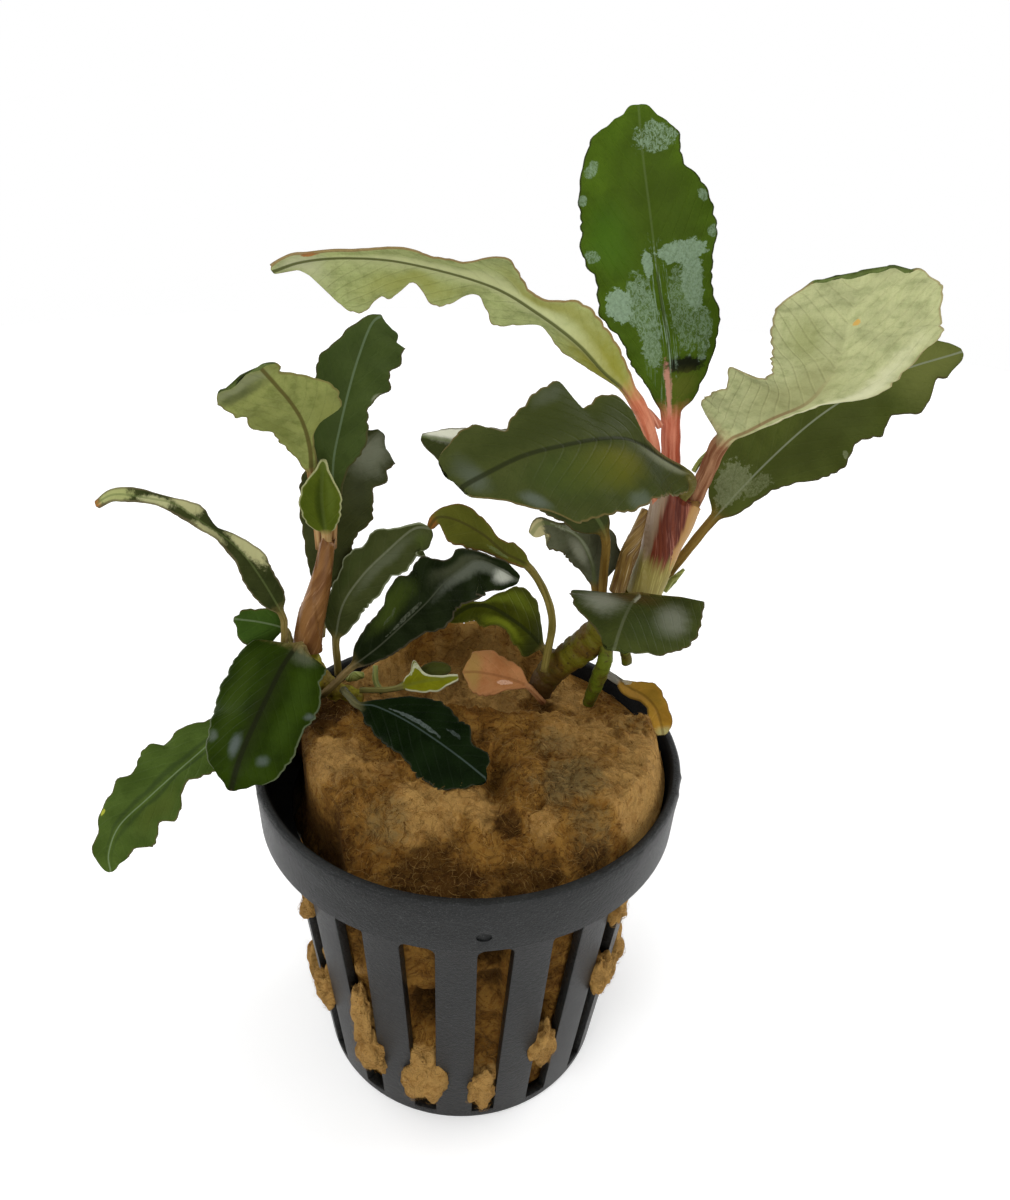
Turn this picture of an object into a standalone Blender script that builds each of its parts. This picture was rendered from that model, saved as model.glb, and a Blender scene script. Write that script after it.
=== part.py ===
"""Two small bucephalandra plants packed with mineral wool in a slatted net pot.

Sizes are in millimetres and become metres where a mesh is made. The pot stands on z = 0 with its
axis on the origin, +Z is up, and the side that faces the viewer is -Y.
"""

import math

import bpy
import bmesh
from mathutils import Vector

MM = 0.001
GAP = 0.3

# Net pot
POT_HEIGHT = 48.0
RIM_RADIUS = 27.0
COLLAR_HEIGHT = 7.5
COLLAR_FOOT_RADIUS = 26.7
BODY_TOP_RADIUS = 24.0
BASE_RADIUS = 19.5
WALL = 1.2
POT_SEGMENTS = 48
SLOT_COUNT = 16
SLOT_FIRST_ANGLE = -78.75
SLOT_WIDTH_ANGLE = 10.6
SLOT_BOTTOM = 1.6
SLOT_TOP = 37.0
SLOT_CORNER = 1.0
DRAIN_COUNT = 8
DRAIN_INNER = 8.0
DRAIN_OUTER = 14.5
DRAIN_WIDTH = 2.4
DIMPLE_ANGLE = -83.25
DIMPLE_HEIGHT = 42.8
DIMPLE_RADIUS = 0.9
DIMPLE_DEPTH = 0.5

# Mineral wool
WOOL_SEGMENTS = 36
WOOL_HOLLOW_HEIGHT = 46.5
WOOL_LUMP_HEIGHT = 52.2
WOOL_FLAP_HEIGHT = 53.6
WOOL_FLAP_RADIUS = 21.0

# Leaves
LEAF_THICKNESS = 0.4
MIDRIB_THICKNESS = 0.7
# Share of the blade over which its round stalk has become flat
FLAT_FROM = 0.06
STALK_STATIONS = 3

POT_GREY = (0.035, 0.038, 0.042)
WOOL_BROWN = (0.36, 0.20, 0.07)
STEM_PINK = (0.42, 0.16, 0.10)
STEM_OLIVE = (0.20, 0.17, 0.04)
ROOT_GREEN = (0.13, 0.17, 0.04)
LEAF_DARK = (0.035, 0.065, 0.015)
LEAF_GREEN = (0.07, 0.13, 0.025)
LEAF_PALE = (0.30, 0.33, 0.16)
LEAF_OLIVE = (0.14, 0.15, 0.03)
LEAF_LIME = (0.30, 0.36, 0.05)
LEAF_PINK = (0.62, 0.30, 0.20)
LEAF_YELLOW = (0.42, 0.26, 0.05)


def clear_scene():
    for old in list(bpy.data.objects):
        bpy.data.objects.remove(old, do_unlink=True)


def material(name, colour, roughness):
    made = bpy.data.materials.new(name)
    made.use_nodes = True
    shader = made.node_tree.nodes["Principled BSDF"]
    shader.inputs["Base Color"].default_value = (*colour, 1.0)
    shader.inputs["Roughness"].default_value = roughness
    shader.inputs["Metallic"].default_value = 0.0
    return made


def mesh_object(name, points, faces, surface):
    """A closed mesh from points in millimetres, with every face turned outwards."""
    shape = bmesh.new()
    corners = [shape.verts.new(Vector(point) * MM) for point in points]
    for face in faces:
        shape.faces.new([corners[i] for i in face])
    bmesh.ops.recalc_face_normals(shape, faces=shape.faces)
    mesh = bpy.data.meshes.new(name)
    shape.to_mesh(mesh)
    shape.free()
    mesh.materials.append(surface)
    made = bpy.data.objects.new(name, mesh)
    bpy.context.collection.objects.link(made)
    return made


def loft(name, rings, surface):
    """Joins rings of equal point counts one after another and closes both ends."""
    sides = len(rings[0])
    points = [point for ring in rings for point in ring]
    faces = []
    for row in range(len(rings) - 1):
        for k in range(sides):
            after = (k + 1) % sides
            low, high = row * sides, (row + 1) * sides
            faces.append((low + k, low + after, high + after, high + k))
    last = (len(rings) - 1) * sides
    faces.append(tuple(reversed(range(sides))))
    faces.append(tuple(range(last, last + sides)))
    return mesh_object(name, points, faces, surface)


def smoothstep(value):
    value = min(max(value, 0.0), 1.0)
    return value * value * (3.0 - 2.0 * value)


def on_circle(radius, angle, height):
    turned = math.radians(angle)
    return Vector((radius * math.cos(turned), radius * math.sin(turned), height))


# Net pot

def pot_profile():
    """Radius and height of each ring of the pot, up the outside and down the inside."""
    collar_foot = POT_HEIGHT - COLLAR_HEIGHT
    lean = (BODY_TOP_RADIUS - BASE_RADIUS) / collar_foot
    inner_base = BASE_RADIUS - WALL + lean * WALL
    return [
        (BASE_RADIUS - 0.5, 0.0),
        (BASE_RADIUS, 0.5),
        (BODY_TOP_RADIUS, collar_foot),
        (COLLAR_FOOT_RADIUS, collar_foot),
        (RIM_RADIUS, POT_HEIGHT - 0.3),
        (RIM_RADIUS - 0.3, POT_HEIGHT),
        (RIM_RADIUS - WALL, POT_HEIGHT),
        (COLLAR_FOOT_RADIUS - WALL, collar_foot + WALL),
        (BODY_TOP_RADIUS - WALL, collar_foot + WALL / 2),
        (inner_base, WALL),
    ]


def slot_cutter_points(angle):
    """One slot's outline, narrower at the foot and with round upper corners, as a radial prism."""
    half = SLOT_WIDTH_ANGLE / 2
    corner = half * SLOT_CORNER / 2.1
    outline = [
        (-half, SLOT_BOTTOM),
        (half, SLOT_BOTTOM),
        (half, SLOT_TOP - SLOT_CORNER),
        (half - corner * 0.4, SLOT_TOP - SLOT_CORNER * 0.3),
        (half - corner, SLOT_TOP),
        (corner - half, SLOT_TOP),
        (corner * 0.4 - half, SLOT_TOP - SLOT_CORNER * 0.3),
        (-half, SLOT_TOP - SLOT_CORNER),
    ]
    inner = [on_circle(15.0, angle + turn, height) for turn, height in outline]
    outer = [on_circle(26.0, angle + turn, height) for turn, height in outline]
    return inner + outer


def drain_cutter_points(angle):
    """One radial drain slot in the base, as an upright prism."""
    along = on_circle(1.0, angle, 0.0)
    across = on_circle(1.0, angle + 90, 0.0)
    half = DRAIN_WIDTH / 2
    corners = [
        along * DRAIN_INNER + across * half * 0.7,
        along * DRAIN_INNER - across * half * 0.7,
        along * DRAIN_OUTER - across * half,
        along * DRAIN_OUTER + across * half,
    ]
    low = [corner + Vector((0, 0, -1)) for corner in corners]
    high = [corner + Vector((0, 0, 2.5)) for corner in corners]
    return low + high


def dimple_cutter_points():
    """The small round dent in the front of the collar."""
    points = []
    for radius in (RIM_RADIUS - DIMPLE_DEPTH, RIM_RADIUS + 1.0):
        for k in range(8):
            turn = math.radians(45 * k)
            angle = DIMPLE_ANGLE + math.degrees(DIMPLE_RADIUS * math.cos(turn) / RIM_RADIUS)
            height = DIMPLE_HEIGHT + DIMPLE_RADIUS * 0.7 * math.sin(turn)
            points.append(on_circle(radius, angle, height))
    return points


def prism_faces(start, sides):
    faces = [tuple(start + k for k in range(sides)), tuple(start + sides + k for k in range(sides))]
    for k in range(sides):
        after = (k + 1) % sides
        faces.append((start + k, start + after, start + sides + after, start + sides + k))
    return faces


def build_pot(surface):
    profile = pot_profile()
    points = []
    faces = []
    count = len(profile)
    for k in range(POT_SEGMENTS):
        angle = SLOT_FIRST_ANGLE + 360.0 * (k + 0.5) / POT_SEGMENTS
        points += [on_circle(radius, angle, height) for radius, height in profile]
    for k in range(POT_SEGMENTS):
        this, after = k * count, (k + 1) % POT_SEGMENTS * count
        for row in range(count - 1):
            faces.append((this + row, after + row, after + row + 1, this + row + 1))
    faces.append(tuple(k * count for k in range(POT_SEGMENTS)))
    faces.append(tuple(k * count + count - 1 for k in range(POT_SEGMENTS)))
    pot = mesh_object("pot", points, faces, surface)

    points = []
    faces = []
    for k in range(SLOT_COUNT):
        faces += prism_faces(len(points), 8)
        points += slot_cutter_points(SLOT_FIRST_ANGLE + 360.0 * k / SLOT_COUNT)
    for k in range(DRAIN_COUNT):
        faces += prism_faces(len(points), 4)
        points += drain_cutter_points(360.0 * k / DRAIN_COUNT)
    faces += prism_faces(len(points), 8)
    points += dimple_cutter_points()
    cutter = mesh_object("pot_cutter", points, faces, surface)
    cutter.hide_render = True
    cutter.hide_viewport = True
    cut = pot.modifiers.new("slots", "BOOLEAN")
    cut.operation = "DIFFERENCE"
    cut.solver = "EXACT"
    cut.object = cutter
    return pot


# Mineral wool

def wool_height(x, y):
    """Height of the wool's upper side: two lumps in front, a crevice between them, a flap behind."""
    radius = math.hypot(x, y)
    lump = smoothstep((y + 23.0) / 9.0) * smoothstep((6.5 - y) / 4.5) * smoothstep((25.6 - radius) / 3.0)
    rise = (WOOL_LUMP_HEIGHT - WOOL_HOLLOW_HEIGHT) * lump
    crevice = 3.0 * math.exp(-(((x - 3.5) / 1.6) ** 2)) * smoothstep((-4.0 - y) / 8.0) * lump
    angle = math.degrees(math.atan2(y, x))
    flap_span = smoothstep((angle - 50) / 25) * smoothstep((150 - angle) / 45)
    flap = math.exp(-(((radius - WOOL_FLAP_RADIUS) / 1.9) ** 2)) * flap_span
    return WOOL_HOLLOW_HEIGHT + rise - crevice + (WOOL_FLAP_HEIGHT - WOOL_HOLLOW_HEIGHT) * flap


def wool_edge(angle):
    """Radius of the wool inside the collar: it stands away from the collar on the left."""
    left = smoothstep((angle - 165) / 15) * smoothstep((245 - angle) / 20)
    return COLLAR_FOOT_RADIUS - WALL - GAP - 4.2 * left


def build_wool(surface):
    ledge = POT_HEIGHT - COLLAR_HEIGHT
    body_top = BODY_TOP_RADIUS - WALL - GAP
    body_foot = BASE_RADIUS - WALL - GAP
    columns = []
    for k in range(WOOL_SEGMENTS):
        angle = 360.0 * k / WOOL_SEGMENTS
        edge = wool_edge(angle)
        column = [
            on_circle(body_foot, angle, WALL + GAP),
            on_circle(body_top - 0.3, angle, ledge - 2.0),
            on_circle(min(body_top, edge), angle, ledge + WALL + GAP + 0.2),
            on_circle(edge, angle, ledge + WALL + GAP + 0.7),
            on_circle(edge, angle, WOOL_HOLLOW_HEIGHT - 1.0),
        ]
        for share in (0.965, 0.90, 0.80, 0.66, 0.48, 0.26):
            spot = on_circle(edge * share, angle, 0.0)
            spot.z = wool_height(spot.x, spot.y)
            column.append(spot)
        columns.append(column)
    count = len(columns[0])
    points = [point for column in columns for point in column]
    faces = []
    for k in range(WOOL_SEGMENTS):
        this, after = k * count, (k + 1) % WOOL_SEGMENTS * count
        for row in range(count - 1):
            faces.append((this + row, after + row, after + row + 1, this + row + 1))
    foot = len(points)
    points.append(Vector((0, 0, WALL + GAP)))
    points.append(Vector((0, 0, wool_height(0, 0))))
    for k in range(WOOL_SEGMENTS):
        this, after = k * count, (k + 1) % WOOL_SEGMENTS * count
        faces.append((after, this, foot))
        faces.append((this + count - 1, after + count - 1, foot + 1))
    return mesh_object("mineral_wool", points, faces, surface)


# Stems, rhizomes and roots

def smooth_line(points, per_span=16):
    """Points along a smooth curve through the given ones."""
    given = [Vector(point) for point in points]
    ends = [2 * given[0] - given[1]] + given + [2 * given[-1] - given[-2]]
    line = []
    for a, b, c, d in zip(ends, ends[1:], ends[2:], ends[3:]):
        for k in range(per_span):
            u = k / per_span
            turn = (c - a) * u + (2 * a - 5 * b + 4 * c - d) * u**2 + (3 * b - a - 3 * c + d) * u**3
            line.append(0.5 * (2 * b + turn))
    line.append(given[-1])
    return line


class Path:
    """A smooth curve that can be asked for its point and direction at a length along it."""

    def __init__(self, points):
        self.line = smooth_line(points)
        self.lengths = [0.0]
        for a, b in zip(self.line, self.line[1:]):
            self.lengths.append(self.lengths[-1] + (b - a).length)
        self.total = self.lengths[-1]

    def point(self, length):
        length = min(max(length, 0.0), self.total)
        for k in range(1, len(self.lengths)):
            if length <= self.lengths[k]:
                share = (length - self.lengths[k - 1]) / max(self.lengths[k] - self.lengths[k - 1], 1e-9)
                return self.line[k - 1].lerp(self.line[k], share)
        return self.line[-1].copy()

    def direction(self, length, reach=0.3):
        return (self.point(length + reach) - self.point(length - reach)).normalized()


def build_tube(name, points, radii, surface):
    """A tube along a smooth curve. Radii are shared out evenly along it."""
    path = Path(points)
    sides = 8 if max(radii) > 1.0 else 6
    stations = 6 if path.total > 6.0 else 4
    rings = []
    across = Vector((1, 0, 0))
    for row in range(stations):
        share = row / (stations - 1)
        centre = path.point(path.total * share)
        along = path.direction(path.total * share)
        across = (across - along * across.dot(along)).normalized()
        up = along.cross(across)
        place = share * (len(radii) - 1)
        low = min(int(place), len(radii) - 2)
        radius = radii[low] + (radii[low + 1] - radii[low]) * (place - low)
        ring = []
        for k in range(sides):
            turn = 2 * math.pi * k / sides
            ring.append(centre + radius * (math.cos(turn) * across + math.sin(turn) * up))
        rings.append(ring)
    return loft(name, rings, surface)


# Leaves

def facing(azimuth, elevation):
    turn, rise = math.radians(azimuth), math.radians(elevation)
    return Vector((math.cos(rise) * math.cos(turn), math.cos(rise) * math.sin(turn), math.sin(rise)))


def shared_out(values, share):
    """The value at this share of the way along a list of evenly spaced ones."""
    if len(values) == 1:
        return values[0]
    place = min(max(share, 0.0), 1.0) * (len(values) - 1)
    low = min(int(place), len(values) - 2)
    return values[low] * (1 - place + low) + values[low + 1] * (place - low)


def margin_wave(share, crests):
    """+1 on each crest, -1 half way between two crests and 0 at both ends of the blade."""
    knots = [(0.0, 0.0)]
    for k, crest in enumerate(crests):
        if k:
            knots.append(((crests[k - 1] + crest) / 2, -1.0))
        knots.append((crest, 1.0))
    knots.append((1.0, 0.0))
    for (start, low), (end, high) in zip(knots, knots[1:]):
        if share <= end:
            return low + (high - low) * smoothstep((share - start) / max(end - start, 1e-6))
    return 0.0


class Margin:
    """One side of a blade.

    widths: from the midrib to the margin, evenly spaced from the blade's foot to its tip.
    crests: where the margin's waves rise, as shares of the blade, and ruffle how high they rise.
    """

    def __init__(self, widths, crests, ruffle):
        self.widths = widths
        self.crests = crests
        self.ruffle = ruffle

    def width(self, share):
        """A smooth curve through the widths, with a round end at the tip."""
        last = len(self.widths) - 1
        place = min(max(share, 0.0), 1.0) * last
        low = min(int(place), last - 1)
        part = place - low
        start, end = self.widths[low], self.widths[low + 1]
        if low == last - 1:
            return end + (start - end) * math.sqrt(1 - part)
        before = self.widths[max(low - 1, 0)]
        after = self.widths[low + 2]
        slope = (end - before) * part
        bend = (2 * before - 5 * start + 4 * end - after) * part**2
        twist = (3 * start - before - 3 * end + after) * part**3
        return max(start + 0.5 * (slope + bend + twist), 0.0)

    def rise(self, share):
        """How far the margin lifts out of the blade's plane."""
        fade = math.sin(math.pi * min(max(share, 0.0), 1.0)) ** 0.5
        return self.ruffle * margin_wave(share, self.crests) * fade


class Leaf:
    """A stalk and a blade along one curve, with a left and a right margin.

    faces: where the upper side looks, as azimuth and elevation, from the blade's foot to its tip.
    cup: how far each half folds towards the upper side, in degrees, from foot to tip.
    """

    def __init__(self, name, stalk, blade, left, right, faces, cup, stalk_radius, colour):
        self.name = name
        self.path = Path(stalk + blade)
        self.foot = self.path.lengths[16 * len(stalk)]
        self.left = left
        self.right = right
        self.faces = [facing(*face) for face in faces]
        self.cup = cup
        self.stalk_radius = stalk_radius
        self.colour = colour

    def blade_share(self, length):
        return (length - self.foot) / (self.path.total - self.foot)

    def frame(self, length):
        """Point, upper side's normal and the direction to the left half at this length."""
        along = self.path.direction(length)
        face = shared_out(self.faces, self.blade_share(length))
        normal = (face - along * face.dot(along)).normalized()
        return self.path.point(length), normal, normal.cross(along)

    def on_blade(self, length, across):
        """A point of the blade's mid surface. across runs from -1 (right edge) to 1 (left edge)."""
        centre, normal, leftwards = self.frame(length)
        share = self.blade_share(length)
        side = self.left if across > 0 else self.right
        reach = abs(across)
        width = side.width(share)
        fold = math.radians(shared_out(self.cup, share))
        outwards = leftwards if across > 0 else -leftwards
        rise = reach * width * math.sin(fold) + reach * reach * side.rise(share)
        return centre + outwards * (reach * width * math.cos(fold)) + normal * rise


# Leaf by leaf: stalk points, blade points, left, right, faces, cup, stalk radius, colour
LEAVES = [
    Leaf("leaf_right_upright", [(23.4, 11.4, 79.8), (22.9, 11.7, 84.5)],
         [(22.4, 12.2, 89.0), (21.4, 13.2, 96.5), (19.5, 14.2, 103.7), (17.8, 15.3, 111.0),
          (16.3, 16.5, 117.5), (15.5, 17.3, 121.8)],
         Margin([1.0, 1.7, 2.4, 3.5, 4.4, 4.8, 5.2, 6.2, 7.0, 7.0, 6.8,
                 7.6, 8.0, 7.7, 7.5, 7.6, 7.1, 6.5, 5.6, 4.4, 0.0], [0.4, 0.6, 0.75], 0.4),
         Margin([1.3, 2.4, 3.2, 4.1, 4.8, 5.5, 6.0, 5.9, 5.6, 5.7, 6.0,
                 6.7, 7.0, 6.8, 6.4, 5.6, 4.2, 4.0, 4.0, 3.0, 0.0], [0.3, 0.6, 0.9], -0.4),
         [(-92, 10), (-90, 15), (-90, 18)], [4], 1.15, LEAF_GREEN),
    Leaf("leaf_right_arching", [(21.6, 9.1, 80.3), (19.8, 8.1, 87.5)],
         [(17.2, 7.0, 92.7), (13.5, 6.5, 95.9), (10.4, 6.0, 99.0), (6.0, 5.0, 102.3),
          (0.5, 4.0, 105.4), (-8.0, 2.5, 107.6), (-14.0, 2.0, 107.9), (-18.5, 2.0, 107.3),
          (-21.6, 2.0, 106.2)],
         Margin([0.8, 1.4, 2.3, 2.8, 3.1, 3.4, 3.0, 1.8, 1.8, 3.8, 5.8,
                 3.4, 3.2, 2.9, 2.6, 1.9, 1.2, 1.2, 1.0, 1.4, 0.3], [0.25, 0.5, 0.7], 0.2),
         Margin([0.5, 0.8, 1.1, 1.9, 2.6, 2.4, 2.0, 3.2, 4.7, 3.6, 2.5,
                 4.3, 4.4, 2.7, 5.6, 5.6, 7.4, 7.1, 4.4, 1.1, 0.3], [0.2, 0.4, 0.58, 0.8], -0.5),
         [(80, 30), (88, 32), (90, 45), (92, 48), (90, 48)], [30, 15, -12, -18, -15], 0.85, LEAF_PALE),
    Leaf("leaf_right_front", [(24.2, 7.9, 80.2), (24.9, 6.4, 82.6)],
         [(23.8, 4.0, 85.0), (20.5, 1.0, 87.8), (16.2, -4.0, 91.7), (12.8, -8.0, 93.3),
          (8.6, -12.0, 93.9), (4.7, -15.5, 94.0), (0.8, -19.0, 93.1), (-0.8, -20.5, 92.6)],
         Margin([1.5, 2.8, 3.8, 4.6, 5.2, 5.9, 6.5, 7.0, 7.5, 7.9, 8.2,
                 8.6, 8.8, 8.7, 8.5, 8.4, 8.1, 6.0, 4.2, 2.4, 0.4], [0.2, 0.42, 0.6, 0.8], -0.3),
         Margin([0.5, 0.4, 0.3, 0.3, 0.3, 0.5, 0.9, 3.2, 4.5, 4.4, 3.9,
                 6.7, 6.4, 6.0, 5.0, 4.1, 2.9, 4.4, 4.6, 4.2, 3.2], [0.42, 0.58, 0.88], 0.5),
         [(-60, 45), (-90, 50), (-95, 45)], [20, 6, 4], 0.55, LEAF_DARK),
    Leaf("leaf_right_pale", [(26.3, 10.2, 79.6), (26.9, 7.4, 85.0)],
         [(27.4, 5.0, 88.9), (29.5, 3.0, 91.2), (31.4, 0.5, 93.7), (33.4, -3.0, 96.5),
          (34.1, -5.5, 99.3), (34.3, -8.0, 102.5), (33.5, -11.0, 106.0), (33.0, -13.0, 108.7),
          (32.2, -15.8, 111.9)],
         Margin([0.5, 0.5, 0.6, 0.8, 1.1, 1.1, 1.2, 1.6, 2.1, 4.5, 6.1,
                 6.2, 6.4, 7.4, 8.5, 8.0, 7.7, 7.4, 7.0, 5.8, 4.0], [0.5, 0.7, 0.9], 0.4),
         Margin([0.5, 5.5, 6.4, 6.6, 7.0, 6.6, 8.0, 8.2, 6.8, 5.4, 5.3,
                 5.6, 6.0, 6.1, 6.25, 6.4, 6.5, 6.5, 6.35, 5.6, 3.5], [0.1, 0.35, 0.75], 0.4),
         [(80, 30), (85, 30), (95, 30)], [0], 1.0, LEAF_PALE),
    Leaf("leaf_right_side", [(24.0, 11.4, 67.4), (26.8, 11.8, 72.0)],
         [(29.2, 12.0, 75.9), (35.2, 13.0, 83.8), (40.8, 13.0, 90.2), (47.2, 12.5, 95.1),
          (54.6, 12.0, 98.3)],
         Margin([0.8, 3.6, 5.2, 6.0, 6.2, 6.0, 5.8, 5.3, 4.5, 3.0, 0.0], [0.2, 0.45, 0.7, 0.9], 0.3),
         Margin([0.6, 1.3, 1.9, 2.2, 2.6, 3.2, 4.2, 5.4, 6.1, 6.4, 6.2,
                 5.2, 5.3, 6.0, 4.7, 4.8, 5.4, 4.6, 2.2, 2.3, 0.0], [0.42, 0.65, 0.8], -0.4),
         [(-85, 40), (-85, 45), (-85, 45)], [4], 0.6, LEAF_GREEN),
    Leaf("leaf_right_behind", [(15.8, 6.2, 66.0), (15.7, 6.4, 70.5)],
         [(15.4, 6.0, 75.7), (13.3, 6.4, 79.0), (9.6, 6.5, 82.0), (2.4, 6.0, 86.0), (-6.7, 5.0, 87.8)],
         Margin([0.5, 2.6, 3.2, 3.6, 3.8, 3.8, 3.8, 3.6, 3.2, 2.8, 0.0], [0.3, 0.6], -0.2),
         Margin([0.5, 1.4, 2.0, 2.4, 2.6, 2.8, 2.8, 2.3, 1.7, 1.2, 0.0], [0.3, 0.6], 0.2),
         [(-95, 40), (-90, 45)], [0], 0.55, LEAF_DARK),
    Leaf("leaf_right_curled", [(15.4, 8.9, 64.8)],
         [(15.0, 8.9, 67.4), (14.3, 8.9, 70.8), (12.5, 8.2, 74.3), (9.9, 7.2, 76.2), (7.6, 6.4, 76.9),
          (6.5, 6.0, 75.6)],
         Margin([0.5, 1.0, 1.7, 2.3, 2.45, 2.6, 2.6, 2.7, 2.8, 2.0, 0.3], [0.5], 0.0),
         Margin([0.5, 2.0, 3.4, 3.6, 3.5, 2.2, 1.3, 0.4, 0.3, 0.7, 0.3], [0.5], 0.0),
         [(-95, 30), (-90, 40)], [0], 0.5, LEAF_DARK),
    Leaf("leaf_right_crown", [(19.3, 5.0, 66.0), (19.8, 4.6, 67.6)],
         [(19.8, 3.4, 69.2), (18.7, 0.0, 70.3), (17.5, -4.0, 70.8), (16.6, -7.0, 70.4),
          (16.0, -9.0, 69.5)],
         Margin([7.6, 7.8, 8.0, 8.1, 8.2, 8.0, 7.7, 6.9, 5.9, 4.8, 1.8], [0.3, 0.6], 0.2),
         Margin([4.5, 7.2, 7.5, 7.4, 7.0, 6.4, 5.8, 4.7, 3.2, 2.0, 1.5], [0.3, 0.6], -0.2),
         [(-150, 79), (-88, 62), (-82, 56)], [2, -8, -12], 0.6, LEAF_DARK),
    Leaf("leaf_right_yellowed", [(18.9, 13.6, 50.6)],
         [(20.0, 11.8, 50.9), (21.2, 10.0, 51.2), (23.0, 8.0, 51.4), (24.2, 6.0, 51.0), (24.7, 4.0, 50.3),
          (25.0, 2.4, 49.2)],
         Margin([0.5, 0.8, 1.1, 1.5, 2.0, 1.9, 1.6, 1.5, 1.5, 1.2, 0.4], [0.5], 0.0),
         Margin([0.5, 1.0, 1.3, 1.3, 1.1, 1.0, 1.0, 1.3, 1.6, 1.4, 0.8], [0.5], 0.0),
         [(-70, 50), (-75, 35)], [14, 10], 0.55, LEAF_YELLOW),
    Leaf("leaf_right_olive", [(9.5, 7.6, 57.6), (9.9, 8.2, 62.0), (8.8, 8.6, 66.0)],
         [(6.4, 8.5, 69.9), (3.4, 8.0, 71.9), (0.6, 8.6, 74.0), (-2.6, 8.9, 75.6), (-4.9, 8.9, 75.9),
          (-6.0, 8.9, 74.5)],
         Margin([0.4, 0.6, 0.7, 0.9, 1.6, 2.2, 2.4, 2.8, 2.2, 0.6, 0.2], [0.3, 0.6], -0.2),
         Margin([0.3, 1.3, 1.6, 1.0, 0.9, 1.5, 1.7, 2.0, 1.5, 0.6, 0.2], [0.3, 0.6], 0.2),
         [(-95, 50), (-95, 45)], [0], 0.5, LEAF_OLIVE),
    Leaf("leaf_right_low", [(9.6, 13.8, 53.9)],
         [(9.0, 12.9, 55.4), (7.0, 11.5, 58.5), (4.5, 10.7, 61.0), (1.8, 10.1, 62.9), (-0.8, 9.6, 63.1),
          (-3.6, 9.0, 61.3)],
         Margin([1.6, 2.7, 2.3, 2.25, 1.6, 1.5, 2.35, 2.5, 1.7, 1.4, 0.2], [0.3, 0.6], -0.2),
         Margin([0.4, 1.4, 2.7, 4.0, 4.3, 4.1, 2.2, 0.4, 0.5, 0.5, 0.2], [0.5], 0.2),
         [(-90, 45), (-90, 40)], [-8], 0.5, LEAF_OLIVE),
    Leaf("leaf_right_pink", [(8.0, 8.0, 51.4)],
         [(7.2, 8.0, 52.2), (5.1, 8.2, 53.0), (3.0, 8.4, 53.4), (0.6, 8.5, 53.7), (-1.2, 8.5, 53.6)],
         Margin([0.3, 1.1, 2.0, 2.8, 2.8, 1.9], [0.5], 0.0),
         Margin([0.3, 1.8, 2.3, 3.0, 2.95, 1.5], [0.5], 0.0),
         [(-90, 50)], [0], 0.4, LEAF_PINK),
    Leaf("leaf_left_upright", [(-18.5, 11.3, 72.3)],
         [(-18.3, 11.5, 76.0), (-18.0, 11.7, 81.4), (-17.2, 12.2, 85.4), (-15.9, 13.0, 90.5),
          (-14.8, 14.0, 94.1), (-13.4, 15.0, 97.5), (-11.9, 15.5, 98.7)],
         Margin([1.0, 1.1, 1.2, 1.3, 1.5, 2.6, 3.4, 3.5, 3.6, 3.7, 3.8,
                 3.9, 4.1, 4.3, 4.2, 3.4, 2.7, 2.2, 1.4, 0.8, 0.0], [0.35, 0.62, 0.85], -0.3),
         Margin([0.9, 1.0, 1.1, 1.4, 1.8, 2.4, 3.1, 3.4, 3.4, 3.2, 3.0,
                 2.9, 3.3, 4.6, 4.4, 4.1, 5.0, 4.6, 4.8, 4.4, 3.0], [0.4, 0.65, 0.8, 0.92], -0.4),
         [(-95, 10), (-95, 20)], [8], 0.6, LEAF_DARK),
    Leaf("leaf_left_pale", [(-20.2, 10.7, 72.3), (-20.3, 10.4, 76.8)],
         [(-20.5, 10.1, 80.5), (-20.3, 9.0, 84.3), (-20.4, 6.6, 88.4), (-21.1, 4.2, 91.6),
          (-22.0, 2.2, 94.0), (-23.1, 0.3, 96.5)],
         Margin([0.6, 0.6, 0.6, 0.5, 0.4, 0.5, 0.6, 1.2, 2.4, 4.6, 4.7,
                 4.8, 4.9, 4.8, 4.0, 3.2, 2.4, 1.6, 1.0, 1.5, 1.4], [0.45, 0.8], 0.4),
         Margin([0.6, 0.9, 1.2, 1.7, 2.2, 2.5, 2.9, 3.1, 3.3, 3.7, 4.5,
                 5.2, 5.4, 5.2, 5.2, 5.7, 5.8, 6.0, 6.2, 6.2, 5.5], [0.5, 0.78], -0.4),
         [(108, 16)], [0], 0.5, LEAF_PALE),
    Leaf("leaf_left_rear", [(-20.6, 12.0, 58.6)],
         [(-20.1, 12.6, 62.9), (-20.0, 13.6, 68.3), (-19.1, 15.2, 73.4), (-17.1, 16.7, 78.4),
          (-14.4, 18.2, 82.0), (-13.2, 18.8, 83.1)],
         Margin([1.2, 1.8, 2.3, 2.8, 3.8, 4.5, 4.9, 4.5, 3.8, 2.0, 0.0], [0.3, 0.7], 0.2),
         Margin([1.2, 1.8, 2.3, 2.8, 3.2, 3.3, 3.3, 3.6, 4.1, 4.7, 5.1,
                 4.9, 4.6, 4.2, 3.9, 4.4, 4.8, 3.9, 4.1, 3.9, 0.0], [0.25, 0.5, 0.8], -0.4),
         [(-95, 15), (-95, 20)], [0], 0.6, LEAF_DARK),
    Leaf("leaf_left_young", [(-18.9, 9.5, 71.9)],
         [(-18.9, 9.3, 73.0), (-19.0, 8.4, 78.0), (-18.4, 7.4, 83.3)],
         Margin([0.6, 1.5, 2.1, 2.4, 2.55, 2.5, 2.3, 1.9, 1.2, 0.6, 0.1], [0.5], 0.0),
         Margin([0.6, 1.3, 1.8, 2.2, 2.4, 2.5, 2.4, 2.0, 1.3, 0.6, 0.1], [0.5], 0.0),
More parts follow.
